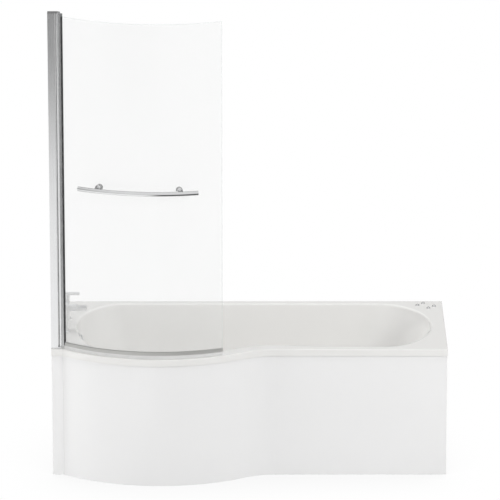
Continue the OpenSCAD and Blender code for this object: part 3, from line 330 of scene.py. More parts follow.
class Finish(Nodes):
    """A material with one Principled shader and the nodes that feed it."""

    def __init__(self, name, base, roughness, metallic=0.0, **constants):
        self.material = bpy.data.materials.new(name)
        self.material.use_nodes = True
        super().__init__(self.material.node_tree)
        self.shader = self.tree.nodes["Principled BSDF"]
        self.place = self.node("ShaderNodeTexCoord").outputs["Object"]
        self.base = base
        self.relief = None
        constants.update(Base_Color=(*base, 1.0), Roughness=roughness, Metallic=metallic)
        for socket, value in constants.items():
            self.shader.inputs[socket.replace("_", " ")].default_value = value

    def feed(self, socket, output):
        self.tree.links.new(output, self.shader.inputs[socket])

    def shade(self, factor):
        """The base colour made lighter or darker."""
        return [min(1.0, part * factor) for part in self.base]

    # Patterns

    def stretched(self, scale):
        return self.node("ShaderNodeMapping",
                         {"Vector": self.place, "Scale": scale}).outputs["Vector"]

    def noise(self, scale, detail, place=None):
        return self.node("ShaderNodeTexNoise", {
            "Vector": place or self.place, "Scale": scale, "Detail": detail,
            "Roughness": 0.55}).outputs["Fac"]

    def cells(self, scale, output, place=None):
        return self.node("ShaderNodeTexVoronoi",
                         {"Vector": place or self.place, "Scale": scale}).outputs[output]

    def grey(self, colours):
        return self.node("ShaderNodeRGBToBW", {"Color": colours}).outputs["Val"]

    def spread(self, fac, low, high):
        """Brings the middle of a pattern to the range from low to high."""
        return self.run(fac, *PATTERN_MIDDLE, low, high)

    def ramp(self, fac, stops):
        """Colours at places along a pattern."""
        made = self.node("ShaderNodeValToRGB", {"Fac": fac})
        band = made.color_ramp
        while len(band.elements) < len(stops):
            band.elements.new(0.5)
        for element, (position, rgb) in zip(band.elements, stops):
            element.position = position
            element.color = (*rgb, 1.0)
        return made.outputs["Color"]

    def mix(self, fac, a, b):
        """Mixes two colours."""
        return self.node("ShaderNodeMix", {0: fac, 6: a, 7: b}, data_type="RGBA").outputs[2]

    # What the patterns do

    def tint(self, fac, light, dark):
        """Colour that wavers a little round the base."""
        start, stop = PATTERN_MIDDLE
        stops = [(start, self.shade(dark)), (stop, self.shade(light))]
        self.feed("Base Color", self.ramp(fac, stops))

    def rough(self, fac, low, high):
        self.feed("Roughness", self.spread(fac, low, high))

    def bump(self, fac, height, amount):
        """Adds relief of the given height in metres."""
        inputs = {"Height": fac, "Distance": height, "Strength": amount}
        if self.relief:
            inputs["Normal"] = self.relief
        self.relief = self.node("ShaderNodeBump", inputs).outputs["Normal"]
        self.feed("Normal", self.relief)


def acrylic(name, base, gloss):
    skin = Finish(name, base, gloss)
    skin.tint(skin.noise(2.2, 4), 1.008, 0.992)
    skin.rough(skin.noise(9.0, 5), gloss * 0.8, gloss * 1.35)
    skin.bump(skin.noise(70.0, 2), 0.0002, 0.12)
    skin.bump(skin.noise(900.0, 2), 0.00002, 0.12)
    return skin


def resin(name, base):
    back = Finish(name, base, 0.55)
    strands = back.cells(240.0, "Distance", back.stretched((1.0, 3.4, 1.7)))
    blotch = back.noise(26.0, 5)
    laid = back.ramp(strands, [(0.1, back.shade(1.22)), (0.6, base)])
    back.feed("Base Color", back.mix(back.spread(blotch, 0.0, 1.0), laid, (*back.shade(0.72), 1.0)))
    back.rough(blotch, 0.38, 0.72)
    back.bump(strands, 0.0006, 0.6)
    back.bump(blotch, 0.0012, 0.5)
    return back


def metal(name, base, low, high, metallic=1.0, grain=60.0, stretch=(1.0, 1.0, 1.0),
          height=0.00001, amount=0.2):
    made = Finish(name, base, (low + high) / 2, metallic)
    lines = made.noise(grain, 4, made.stretched(stretch))
    made.tint(made.noise(14.0, 3), 1.01, 0.985)
    made.rough(lines, low, high)
    made.bump(lines, height, amount)
    return made


def brushed(name, base, low, high, stretch, metallic=1.0):
    return metal(name, base, low, high, metallic, 9.0, stretch, 0.00003, 0.25)


def plated(name, base):
    zinc = Finish(name, base, 0.38, 1.0)
    spangle = zinc.grey(zinc.cells(130.0, "Color"))
    dark, pale = zinc.shade(0.72), zinc.shade(1.25)
    zinc.feed("Base Color", zinc.ramp(spangle, [(0.15, dark), (0.85, pale)]))
    zinc.rough(spangle, 0.28, 0.50)
    zinc.bump(zinc.noise(300.0, 3), 0.00003, 0.3)
    return zinc


def turned(name, base):
    brass = Finish(name, base, 0.28, 1.0)
    tarnish = brass.noise(34.0, 5)
    rings = brass.noise(14.0, 3, brass.stretched((1.0, 1.0, 60.0)))
    brass.feed("Base Color", brass.ramp(tarnish, [(0.35, brass.shade(0.62)), (0.6, base)]))
    brass.rough(rings, 0.20, 0.40)
    brass.bump(rings, 0.00003, 0.4)
    return brass


def sawn(name, base):
    timber = Finish(name, base, 0.62)
    rings = timber.node("ShaderNodeTexWave", {
        "Vector": timber.stretched((1.2, 14.0, 14.0)), "Scale": 1.6, "Distortion": 5.5,
        "Detail": 3.0, "Detail Scale": 1.4}, bands_direction="Y").outputs["Fac"]
    fibre = timber.noise(30.0, 6, timber.stretched((1.5, 45.0, 45.0)))
    late, early = timber.shade(0.62), timber.shade(1.22)
    grain = timber.ramp(rings, [(0.0, late), (0.22, base), (0.9, early)])
    threads = timber.ramp(fibre, [(0.3, late), (0.7, early)])
    timber.feed("Base Color", timber.mix(0.35, grain, threads))
    timber.rough(fibre, 0.5, 0.8)
    timber.bump(fibre, 0.0004, 0.5)
    return timber


def flaked(name, base):
    board = Finish(name, base, 0.7)
    flakes = board.grey(board.cells(170.0, "Color", board.stretched((1.0, 1.9, 2.6))))
    dark, pale = board.shade(0.55), board.shade(1.35)
    chips = board.ramp(flakes, [(0.15, dark), (0.5, base), (0.85, pale)])
    dust = board.ramp(board.noise(420.0, 4), [(0.3, dark), (0.7, pale)])
    board.feed("Base Color", board.mix(0.3, chips, dust))
    board.bump(flakes, 0.0003, 0.5)
    return board


def moulded(name, base, low, high, height=0.00005):
    made = Finish(name, base, (low + high) / 2)
    made.tint(made.noise(12.0, 3), 1.05, 0.94)
    made.rough(made.noise(40.0, 4), low, high)
    made.bump(made.noise(520.0, 3), height, 0.35)
    return made


def soft_seal(name, base):
    seal = Finish(name, base, 0.3, IOR=1.45, Alpha=0.9)
    seal.tint(seal.noise(20.0, 3), 1.02, 0.98)
    seal.rough(seal.noise(50.0, 3), 0.24, 0.42)
    seal.bump(seal.noise(600.0, 2), 0.00004, 0.2)
    return seal


def clear_glass(name, base, straight, slanting):
    """Glass that shows a little seen straight on, and more seen along its face."""
    glass = Finish(name, base, 0.02, IOR=1.5, Specular_IOR_Level=1.0)
    glass.rough(glass.noise(5.0, 4), 0.012, 0.035)
    glass.tint(glass.noise(1.5, 2), 1.003, 0.997)
    grazing = glass.node("ShaderNodeLayerWeight", {"Blend": 0.2}).outputs["Fresnel"]
    glass.feed("Alpha", glass.run(grazing, 0.1, 1.0, straight, slanting))
    return glass


def glass_edge(name, base):
    edge = Finish(name, base, 0.08, IOR=1.45, Alpha=0.3)
    edge.tint(edge.noise(16.0, 3), 1.05, 0.92)
    edge.rough(edge.noise(80.0, 3), 0.05, 0.16)
    return edge


# Each finish has its maker and what the maker takes: names of settings, and numbers.
# No finish has the name of one of the frame's own plain materials.
FINISH_MAKERS = {
    "white_acrylic": (acrylic, "acrylic", "gloss"),
    "panel_acrylic": (acrylic, "panel", "gloss"),
    "fibre_resin": (resin, "resin"),
    "polished_chrome": (metal, "chrome", 0.035, 0.085),
    "post_chrome": (metal, "chrome", 0.12, 0.20, 0.78),
    "tap_chrome": (metal, "tap_chrome", 0.30, 0.38, 0.65),
    "brushed_aluminium": (brushed, "aluminium", 0.16, 0.24, (90.0, 90.0, 0.8)),
    # The foot rail's finish is a darker copy of the satin aluminium: painted shade
    "foot_rail_aluminium": (brushed, "foot_rail", 0.40, 0.55, (1.0, 1.0, 90.0), 0.35),
    "spangled_zinc": (plated, "zinc"),
    "turned_brass": (turned, "brass"),
    "sawn_timber": (sawn, "timber"),
    "flaked_chipboard": (flaked, "chipboard"),
    "grained_black_plastic": (moulded, "black_plastic", 0.30, 0.46),
    "grained_white_plastic": (moulded, "white_plastic", 0.26, 0.40),
    "black_rubber": (moulded, "rubber", 0.62, 0.82, 0.0001),
    "soft_clear_seal": (soft_seal, "seal"),
    "clear_glass": (clear_glass, "glass", "glass_veil", "glass_slant"),
    "polished_glass_edge": (glass_edge, "glass_edge"),
}
FINISHES_MADE = {}


def finish(name):
    """The named finish, made once."""
    if name not in FINISHES_MADE:
        settings = bpy.context.scene.shower_bath_finishes
        maker, *takes = FINISH_MAKERS[name]
        given = [getattr(settings, take) if isinstance(take, str) else take for take in takes]
        FINISHES_MADE[name] = maker(name, *given).material
    return FINISHES_MADE[name]


def dress(piece, *names):
    """Gives a piece its finishes, in the order of its material slots."""
    piece.data.materials.clear()
    for name in names:
        piece.data.materials.append(finish(name))


def dress_nodes(nodes):
    """Gives CAD nodes their finish: each finish has the nodes that take it."""
    for name, takers in nodes.items():
        for node in takers:
            dress(NODES[node], name)


# ---- Studio ----

SENSOR_WIDTH = 36.0  # in mm
LAMP_PLACES = {
    "key": (4.2, -5.0, 4.2),
    "top": (0.0, -1.0, 6.0),
    "side": (-5.2, -1.9, 0.9),
    "rim": (-5.2, 1.2, 0.6),
    "back": (0.0, 5.0, 4.5),
}
WORLD_TONE = (1.0, 0.998, 0.994, 1.0)
WHITE = (1.0, 1.0, 1.0, 1.0)
GLOSS_TONE = (0.8, 0.8, 0.8, 1.0)

# How bright polished metal sees the floor's painted light and shade: start, stop, and the strength
# at each
FLOOR_NEAR = (-2.4, -3.4, 0.1, 0.5)  # along y, in front of the bath
FLOOR_FAR = (-7.4, -5.0, 0.2, 1.0)  # along y, at the left
FLOOR_BEHIND = (0.6, -0.1, 0.1, 1.0)  # along BEHIND_WAY, at the left
BEHIND_WAY = (-0.26, 0.966, 0.0)
FLOOR_LEFT = (-0.30, -0.75, 0.0, 1.0)  # along x: how much the left's own tones count

# Where the world that gloss sees turns from dim to white, along y and along z
WORLD_FRONT = (-0.25, -0.8)
WORLD_ABOVE = (0.35, 0.85)


class SHOWERBATH_OT_studio(bpy.types.Operator):
    """Floor, world, lamps and camera"""

    bl_idname = "shower_bath.studio"
    bl_label = "Studio"

    def execute(self, context):
        studio = context.scene.shower_bath_studio
        context.scene.view_settings.view_transform = "Standard"
        self.add_camera(context, studio)
        self.add_floor(studio)
        self.add_world(context, studio)
        for name, place in LAMP_PLACES.items():
            self.add_lamp(studio, name, Vector(place))
        return {"FINISHED"}

    def add_camera(self, context, studio):
        data = bpy.data.cameras.new("photo_camera")
        data.lens = studio.lens
        data.sensor_width = SENSOR_WIDTH
        camera = add_to_scene("photo_camera", data)
        camera.location = (studio.aside, -studio.distance, studio.height)
        camera.rotation_euler = (pi / 2 - studio.tilt, 0.0, 0.0)
        context.scene.camera = camera

    def add_floor(self, studio):
        half = studio.floor_half
        mesh = bpy.data.meshes.new("studio_floor")
        mesh.from_pydata([(-half, -half, 0), (half, -half, 0), (half, half, 0), (-half, half, 0)],
                         [], [(0, 1, 2, 3)])
        mesh.materials.append(self.floor_material(studio))
        add_to_scene("studio_floor", mesh)

    def floor_material(self, studio):
        material = bpy.data.materials.new("studio_floor")
        material.use_nodes = True
        nodes = Nodes(material.node_tree)
        nodes.tree.nodes.clear()
        path = nodes.node("ShaderNodeLightPath").outputs
        paint = nodes.node("ShaderNodeBsdfDiffuse", {"Color": (*studio.floor, 1.0)}).outputs[0]
        # The camera sees a white floor with the bath's soft shadow on it
        clear = nodes.node("ShaderNodeAmbientOcclusion",
                           {"Distance": studio.shadow_reach}).outputs["AO"]
        shadow = nodes.smooth(clear, 0.0, 1.0, 1.0 - studio.shadow, 1.0)
        white = nodes.node("ShaderNodeEmission", {"Strength": shadow}).outputs[0]
        # Polished metal sees painted light and shade on it: bright at the front left, and darker
        # elsewhere
        place = nodes.node("ShaderNodeNewGeometry").outputs["Position"]
        parts = nodes.node("ShaderNodeSeparateXYZ", {0: place}).outputs
        behind = nodes.node("ShaderNodeVectorMath", {0: place, 1: BEHIND_WAY},
                            operation="DOT_PRODUCT").outputs["Value"]
        left = nodes.math("MULTIPLY", nodes.smooth(parts["Y"], *FLOOR_FAR),
                          nodes.smooth(behind, *FLOOR_BEHIND))
        seen = nodes.node("ShaderNodeMix", {0: nodes.smooth(parts["X"], *FLOOR_LEFT),
                                            2: nodes.smooth(parts["Y"], *FLOOR_NEAR),
                                            3: left}).outputs[0]
        mirrored = nodes.node("ShaderNodeEmission", {"Strength": seen}).outputs[0]
        lit = nodes.either(path["Is Camera Ray"], paint, white)
        nodes.node("ShaderNodeOutputMaterial",
                   {"Surface": nodes.either(path["Is Glossy Ray"], lit, mirrored)})
        return material

    def add_world(self, context, studio):
        world = bpy.data.worlds.new("studio_world")
        context.scene.world = world
        world.use_nodes = True
        nodes = Nodes(world.node_tree)
        nodes.tree.nodes.clear()
        path = nodes.node("ShaderNodeLightPath").outputs
        soft = self.background(nodes, WORLD_TONE, studio.world)
        white = self.background(nodes, WHITE, 1.0)
        seen = nodes.math("MAXIMUM", path["Is Camera Ray"], path["Is Transmission Ray"])
        # Gloss sees white in front and overhead, and less low down at the sides and behind
        way = nodes.node("ShaderNodeTexCoord").outputs["Generated"]
        parts = nodes.node("ShaderNodeSeparateXYZ", {0: way}).outputs
        front = nodes.smooth(parts["Y"], *WORLD_FRONT, studio.dim, 1.0)
        above = nodes.smooth(parts["Z"], *WORLD_ABOVE, studio.dim, 1.0)
        mirrored = self.background(nodes, GLOSS_TONE, nodes.math("MAXIMUM", front, above))
        plain = nodes.either(seen, soft, white)
        nodes.node("ShaderNodeOutputWorld",
                   {"Surface": nodes.either(path["Is Glossy Ray"], plain, mirrored)})

    @staticmethod
    def background(nodes, tone, light):
        return nodes.node("ShaderNodeBackground", {"Color": tone, "Strength": light}).outputs[0]

    def add_lamp(self, studio, name, place):
        data = bpy.data.lights.new(name + "_lamp", "AREA")
        data.shape = "DISK"
        data.size = studio.lamp_size
        data.energy = getattr(studio, name)
        lamp = add_to_scene(name + "_lamp", data)
        lamp.location = place
        lamp.visible_glossy = False   # only the world and the floor show in the gloss
        lamp.rotation_mode = "QUATERNION"
        target = Vector((0.0, 0.0, studio.aim))
        lamp.rotation_quaternion = (target - place).to_track_quat("-Z", "Y")


# ---- Bath ----

# The solid's points along the front, head end, back, tap end, its corner and the bow's crease
OUTLINE_POINTS = (36, 24, 8, 18, 2, 6)
TAP_TURN = 0.75 * pi  # the tap end's turn, from the back to its front corner
ROUNDING_POWER = 4  # how squarely the sides round into the floor
ROLL_STEPS, EDGE_STEPS = 8, 6
FLOOR_CROWDING = 2.5  # how closely the rings stand near the basin's floor
SHELL_SHARP = radians(38)
WASTE_HOLE_DEPTH, OVERFLOW_HOLE_DEPTH, TAP_HOLE_DEPTH = 0.03, 0.04, 0.02


class BathPlan:
    """The bath's outline and basin, as the solid has them."""

    def __init__(self, sizes):
        self.sizes = sizes
        self.half = SHELL_HIGH.x
        self.back = SHELL_HIGH.y
        self.rim = SHELL_HIGH.z
        bow, waist = sizes.bow_radius, sizes.waist_radius
        crown = SHELL_LOW.y
        self.front = crown + sizes.bow_depth
        self.bow_x = sizes.bow_crown - self.half
        self.bow_y = crown + bow
        self.waist_y = self.front - waist
        self.waist_x = self.bow_x + sqrt((bow + waist) ** 2 - (self.bow_y - self.waist_y) ** 2)
        self.turn = (self.waist_x - self.bow_x) / (bow + waist)
        self.turn_x = self.bow_x + bow * self.turn
        crease_x = self.bow_x - sqrt(bow ** 2 - (bow - sizes.bow_depth) ** 2)
        start = self.basin_start(0, 0)
        self.crease_turn = atan((start - crease_x) / (start + self.half))
        self.stations = self.make_stations(sizes.stations)

    @staticmethod
    def ease(low, high, x):
        t = min(1.0, max(0.0, (x - low) / (high - low)))
        return t * t * (3 - 2 * t)

    def front_at(self, x, inset):
        """Front edge of the plan at x, moved inwards."""
        bow = self.sizes.bow_radius - inset
        waist = self.sizes.waist_radius + inset
        on_bow = self.bow_y - sqrt(max(0.0, bow ** 2 - (x - self.bow_x) ** 2))
        if x >= self.waist_x:
            return self.front + inset
        if x > self.bow_x + bow * self.turn:
            return self.waist_y + sqrt(max(0.0, waist ** 2 - (x - self.waist_x) ** 2))
        return on_bow if x > self.bow_x else min(self.front + inset, on_bow)

    def rim_width(self, x):
        """Width of the rim along the front."""
        s = self.sizes
        swell = self.ease(self.turn_x - s.rim_blend, self.turn_x, x)
        narrow = self.ease((self.turn_x + self.waist_x) / 2, self.waist_x + s.rim_blend, x)
        return (s.rim_bow + (s.rim_waist - s.rim_bow) * swell
                + (s.rim_front - s.rim_waist) * narrow)

    @staticmethod
    def lean(straight, rounding, depth):
        """How far a wall has come in: a straight lean, and a rounding into the floor."""
        upright = max(0.0, 1 - depth ** ROUNDING_POWER) ** (1 / ROUNDING_POWER)
        return straight * depth + rounding * (1 - upright)

    def basin_start(self, depth, out):
        s = self.sizes
        leant = self.lean(s.tap_lean, s.floor_round, depth)
        return -self.half + s.rim_tap + leant - out + s.tap_round

    def basin_stop(self, depth, out):
        s = self.sizes
        leant = self.lean(s.back_lean, s.rest_round, depth)
        return self.half - s.rim_head - leant + out - s.head_round

    def make_stations(self, fine):
        """Points round the bath: share of the straight part, cosine, sine."""
        front, head, back, tap, corner, crease = (fine * points for points in OUTLINE_POINTS)
        made = [(k / front, 0.0, -1.0) for k in range(front)]
        head_turns = [pi * k / head - pi / 2 for k in range(head)]
        made += [(1.0, cos(a), sin(a)) for a in head_turns]
        made += [(1 - k / back, 0.0, 1.0) for k in range(back)]
        tap_turns = [pi / 2 + TAP_TURN * k / tap for k in range(tap)]
        made += [(0.0, cos(a), sin(a)) for a in tap_turns]
        # From the tap end's front corner past the bow's crease
        bend = self.crease_turn
        turns = [pi / 4 + (bend - pi / 4) * k / corner for k in range(corner)]
        turns += [bend * k / crease for k in range(crease, 0, -1)]
        return made + [(0.0, -sin(a), -cos(a)) for a in turns]

    def basin_ring(self, depth, out, z):
        """Ring of the basin at a share of its depth, moved outwards."""
        sizes = self.sizes
        x0, x1 = self.basin_start(depth, out), self.basin_stop(depth, out)
        inset = self.lean(sizes.side_lean, sizes.floor_round, depth) - out
        back = self.back - sizes.rim_back - inset
        ring = []
        for along, c, s in self.stations:
            x = x0 + (x1 - x0) * along + c * (sizes.head_round if c > 0 else sizes.tap_round)
            front = self.front_at(x, self.rim_width(x) + inset)
            ring.append((x, (back + front) / 2 + s * (back - front) / 2, z))
        return ring

    def rim_ring(self, inset, z):
        """Ring of the bath's outline, moved inwards."""
        x0, x1 = self.basin_start(0, 0), self.basin_stop(0, 0)
        back = self.back - inset
        ring = []
        for along, c, s in self.stations:
            most = max(abs(c), abs(s))
            side = self.half - inset + (-x1 if c > 0 else x0)
            x = x0 + (x1 - x0) * along + c / most * side
            front = self.front_at(x, inset)
            ring.append((x, (back + front) / 2 + s / most * (back - front) / 2, z))
        return ring


class SHOWERBATH_OT_shell(bpy.types.Operator):
    """The acrylic bath shell, smooth where the solid has flat facets"""

    bl_idname = "shower_bath.shell"
    bl_label = "Bath shell"

    def execute(self, context):
        sizes = context.scene.shower_bath_shell
        plan = BathPlan(sizes)
        gloss = self.gloss_rings(sizes, plan)
        rings = gloss + self.resin_rings(sizes, plan)
        shell = new_piece("bath_shell_skin", rings, "bath", "bath_shell")
        first_resin = 1 + (len(gloss) - 1) * len(plan.stations)
        for polygon in shell.data.polygons:
            polygon.material_index = int(polygon.index >= first_resin)
        dress(shell, "white_acrylic", "fibre_resin")
        cut_holes(shell, self.holes(sizes))
        smooth_sharp(shell, SHELL_SHARP)
        return {"FINISHED"}

    @staticmethod
    def depths(sizes):
        """Shares of the basin's depth, from the floor up."""
        return [1 - (k / sizes.steps) ** FLOOR_CROWDING for k in range(sizes.steps + 1)]

    def gloss_rings(self, sizes, plan):
        """The side that shows: basin, rolled edge, rim and lip."""
        rim, roll, edge, loop = plan.rim, sizes.roll_radius, sizes.edge_radius, sizes.bend_loop
        lip_z = rim - sizes.lip_height
        rings = [plan.basin_ring(depth, 0, rim - roll - (sizes.basin_depth - roll) * depth)
                 for depth in self.depths(sizes)]
        for k in range(1, ROLL_STEPS + 1):
            a = pi / 2 * k / ROLL_STEPS
            rings.append(plan.basin_ring(0, roll * (1 - cos(a)), rim - roll * (1 - sin(a))))
        rings += [plan.basin_ring(0, roll + loop, rim), plan.rim_ring(edge + loop, rim)]
        for k in range(EDGE_STEPS + 1):
            a = pi / 2 * k / EDGE_STEPS
            rings.append(plan.rim_ring(edge * (1 - sin(a)), rim - edge * (1 - cos(a))))
        return rings + [plan.rim_ring(0, z) for z in (rim - edge - loop, lip_z + loop, lip_z)]

    def resin_rings(self, sizes, plan):
        """The side that doesn't show: inside the lip, under the rim and round the basin."""
        deck_z = plan.rim - sizes.skin
        rings = [plan.rim_ring(sizes.skin, z) for z in (plan.rim - sizes.lip_height, deck_z)]
        depths = self.depths(sizes)[::2]
        return rings + [plan.basin_ring(depth, sizes.skin, deck_z - sizes.basin_depth * depth)
                        for depth in reversed(depths)]

    def holes(self, sizes):
        """Waste, overflow and tap holes, each centred on the piece that goes through it."""
        low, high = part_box("waste_gasket")
        waste = (low + high) / 2
        knob = [j for j in frame["joints"] if j["name"] == "overflow_control_turn"][0]
        up = (0, 0, 1)
        holes = [((waste.x, waste.y, SHELL_LOW.z), up, sizes.waste_hole, WASTE_HOLE_DEPTH),
                 (knob["pos_m"], knob["axis"], sizes.overflow_hole, OVERFLOW_HOLE_DEPTH)]
        low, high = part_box("tap_flanges")
        half = (high.x - low.x) / 2
        for y in (low.y + half, high.y - half):
            holes.append(((low.x + half, y, SHELL_HIGH.z), up, sizes.tap_hole, TAP_HOLE_DEPTH))
        return holes


class SHOWERBATH_OT_front_panel(bpy.types.Operator):
    """The curved front panel with its batten and blocks"""

    bl_idname = "shower_bath.front_panel"
    bl_label = "Front panel"

    def execute(self, context):
        dress_nodes({
            "panel_acrylic": ["front_panel"],
            "sawn_timber": ["floor_batten", "panel_blocks"],
        })
        return {"FINISHED"}


class SHOWERBATH_OT_leg_frame(bpy.types.Operator):
    """Baseboard, timber rail, cradle bars, legs, feet and wall brackets"""

    bl_idname = "shower_bath.leg_frame"
    bl_label = "Leg frame"

    def execute(self, context):
        dress_nodes({
            "flaked_chipboard": ["baseboard"],
            "sawn_timber": ["rim_rail"],
            "spangled_zinc": ["cradle_bars", "cradle_screws", "threaded_legs", "leg_nuts",
                              "wall_brackets", "bracket_screws"],
            "grained_black_plastic": ["feet"],
        })
        return {"FINISHED"}


# ---- Waste and overflow ----

class SHOWERBATH_OT_waste(bpy.types.Operator):
    """Waste, pop-up plug, overflow and trap"""

    bl_idname = "shower_bath.waste"
    bl_label = "Waste and overflow"

    def execute(self, context):
        dress_nodes({
            "polished_chrome": ["waste_flange", "plug", "overflow_plate", "overflow_knob"],
            "grained_black_plastic": ["waste_body", "overflow_body"],
            "grained_white_plastic": ["trap", "trap_nut", "outlet_nut"],
            "black_rubber": ["waste_gasket", "overflow_gasket", "plug_seal"],
        })
        return {"FINISHED"}


SOLID_HOSE = cos(pi / 8)  # flat side against corner of the solid hose's eight sides
CUFF_CHAMFER, CUFF_CHAMFER_LENGTH = 0.0005, 0.0006
RIB_POINTS = 6  # rings for each rib
VALLEY = 1.4  # how narrow the valleys are
BORE_STEPS = 72
CABLE_SIDES, CABLE_STEPS = 16, 140
CABLE_GAP = 0.0001
HOSE_SHARP = radians(50)


class HoseRoute:
    """The hose's way: down behind the tap end, round one bend and along to the waste."""

    def __init__(self, sizes):
        low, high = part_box("overflow_hose")
        radius = sizes.diameter / 2 * SOLID_HOSE
        self.x = low.x + radius
        self.end = high.x
        self.z = low.z + radius
        self.top = high.z
        self.y = (low.y + high.y) / 2
        self.bend = sizes.bend
        self.drop = self.top - self.z - self.bend
        self.arc = self.bend * pi / 2
        self.length = self.drop + self.arc + self.end - self.x - self.bend

    def at(self, along):
        """Place in x and z, and the way's turn, at a distance along it."""
        turn = min(pi / 2, max(0.0, (along - self.drop) / self.bend))
        x = self.x + self.bend * (1 - cos(turn)) + max(0.0, along - self.drop - self.arc)
        return x, self.top - min(along, self.drop) - self.bend * sin(turn), turn

    def ring(self, along, radius, sides, aside=0.0):
        """Ring round the way, or round a line beside it."""
        x, z, turn = self.at(along)
        made = []
        for k in range(sides):
            a = 2 * pi * (k + 0.5) / sides
            u = radius * cos(a) + aside
            made.append((x + u * cos(turn), self.y + radius * sin(a), z + u * sin(turn)))
        return made


class SHOWERBATH_OT_hose(bpy.types.Operator):
    """Ribbed overflow hose and the lift cable inside it"""

    bl_idname = "shower_bath.hose"
    bl_label = "Overflow hose"

    def execute(self, context):
        sizes = context.scene.shower_bath_hose
        route = HoseRoute(sizes)
        self.add_hose(sizes, route)
        self.add_cable(sizes, route)
        return {"FINISHED"}

    def add_hose(self, sizes, route):
        rings = [route.ring(along, radius, sizes.sides)
                 for along, radius in self.outside(sizes, route.length)]
        for k in range(BORE_STEPS, -1, -1):
            rings.append(route.ring(route.length * k / BORE_STEPS, sizes.bore / 2, sizes.sides))
        hose = new_piece("ribbed_hose", rings, "bath", "overflow_hose",
                         joined=True)
        dress(hose, "grained_white_plastic")
        smooth_sharp(hose, HOSE_SHARP)

    def outside(self, sizes, whole):
        """Distance along the hose and radius: a cuff, the ribs, and a cuff."""
        outer, pitch = sizes.diameter / 2, sizes.pitch
        ribs = int((whole - 2 * sizes.diameter) / pitch)
        start = (whole - ribs * pitch) / 2
        stops = [(0.0, outer - CUFF_CHAMFER), (CUFF_CHAMFER_LENGTH, outer), (start / 2, outer),
                 (start - pitch / 2, outer)]
        for k in range(ribs * RIB_POINTS):
            valley = ((cos(2 * pi * k / RIB_POINTS) + 1) / 2) ** VALLEY
            stops.append((start + k / RIB_POINTS * pitch, outer - sizes.rib * valley))
        last = whole - start
        stops += [(last, outer - sizes.rib), (last + pitch / 2, outer),
                  (whole - CUFF_CHAMFER_LENGTH, outer), (whole, outer - CUFF_CHAMFER)]
        return stops

    def add_cable(self, sizes, route):
        """The cable lies against the spigots, on the inside of the hose's bend."""
        low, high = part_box("lift_cable")
        up = high.z - route.top
        reach = route.length + up + (high.x - route.end)
        bore = sizes.bore / 2 * SOLID_HOSE - CABLE_GAP
        aside = bore - sizes.spigot - sizes.cable - CABLE_GAP
        rings = [route.ring(reach * k / CABLE_STEPS - up, sizes.cable, CABLE_SIDES, aside)
                 for k in range(CABLE_STEPS + 1)]
        cable = new_piece("lift_cable_sheath", rings, "bath", "lift_cable")
        dress(cable, "grained_black_plastic")
        smooth_sharp(cable, HOSE_SHARP)


# ---- Tap ----

class SHOWERBATH_OT_tap(bpy.types.Operator):
    """Two-hole bath filler with its levers and fixings, and the studs in the rim"""

    bl_idname = "shower_bath.tap"
    bl_label = "Tap"

    def execute(self, context):
        dress_nodes({
            "tap_chrome": ["tap_body", "tap_flanges", "hot_lever", "cold_lever", "spout_outlet"],
            "polished_chrome": ["deck_studs"],
            "turned_brass": ["tap_valves", "hot_spindle", "cold_spindle", "tap_tails",
                             "tap_backnuts"],
            "black_rubber": ["tap_washers"],
        })
        return {"FINISHED"}


# ---- Screen ----

class SHOWERBATH_OT_wall_profiles(bpy.types.Operator):
    """Wall channel, adjusting profile, caps, pins and the pivot post"""

    bl_idname = "shower_bath.wall_profiles"
    bl_label = "Wall profiles"

    def execute(self, context):
        dress_nodes({
            "brushed_aluminium": ["wall_channel", "adjusting_profile"],
            "polished_chrome": ["top_cap", "bottom_block"],
            "post_chrome": ["pivot_post"],
            "spangled_zinc": ["adjusting_screws", "pivot_pins"],
            "grained_white_plastic": ["pivot_bushes"],
        })
        return {"FINISHED"}


BOLT_HOLE_DEPTH = 0.02
GLASS_SHARP = radians(25)
FACE_TILT, FACE_TURN = 0.2, 0.97  # how upright and how radial the glass's own faces are


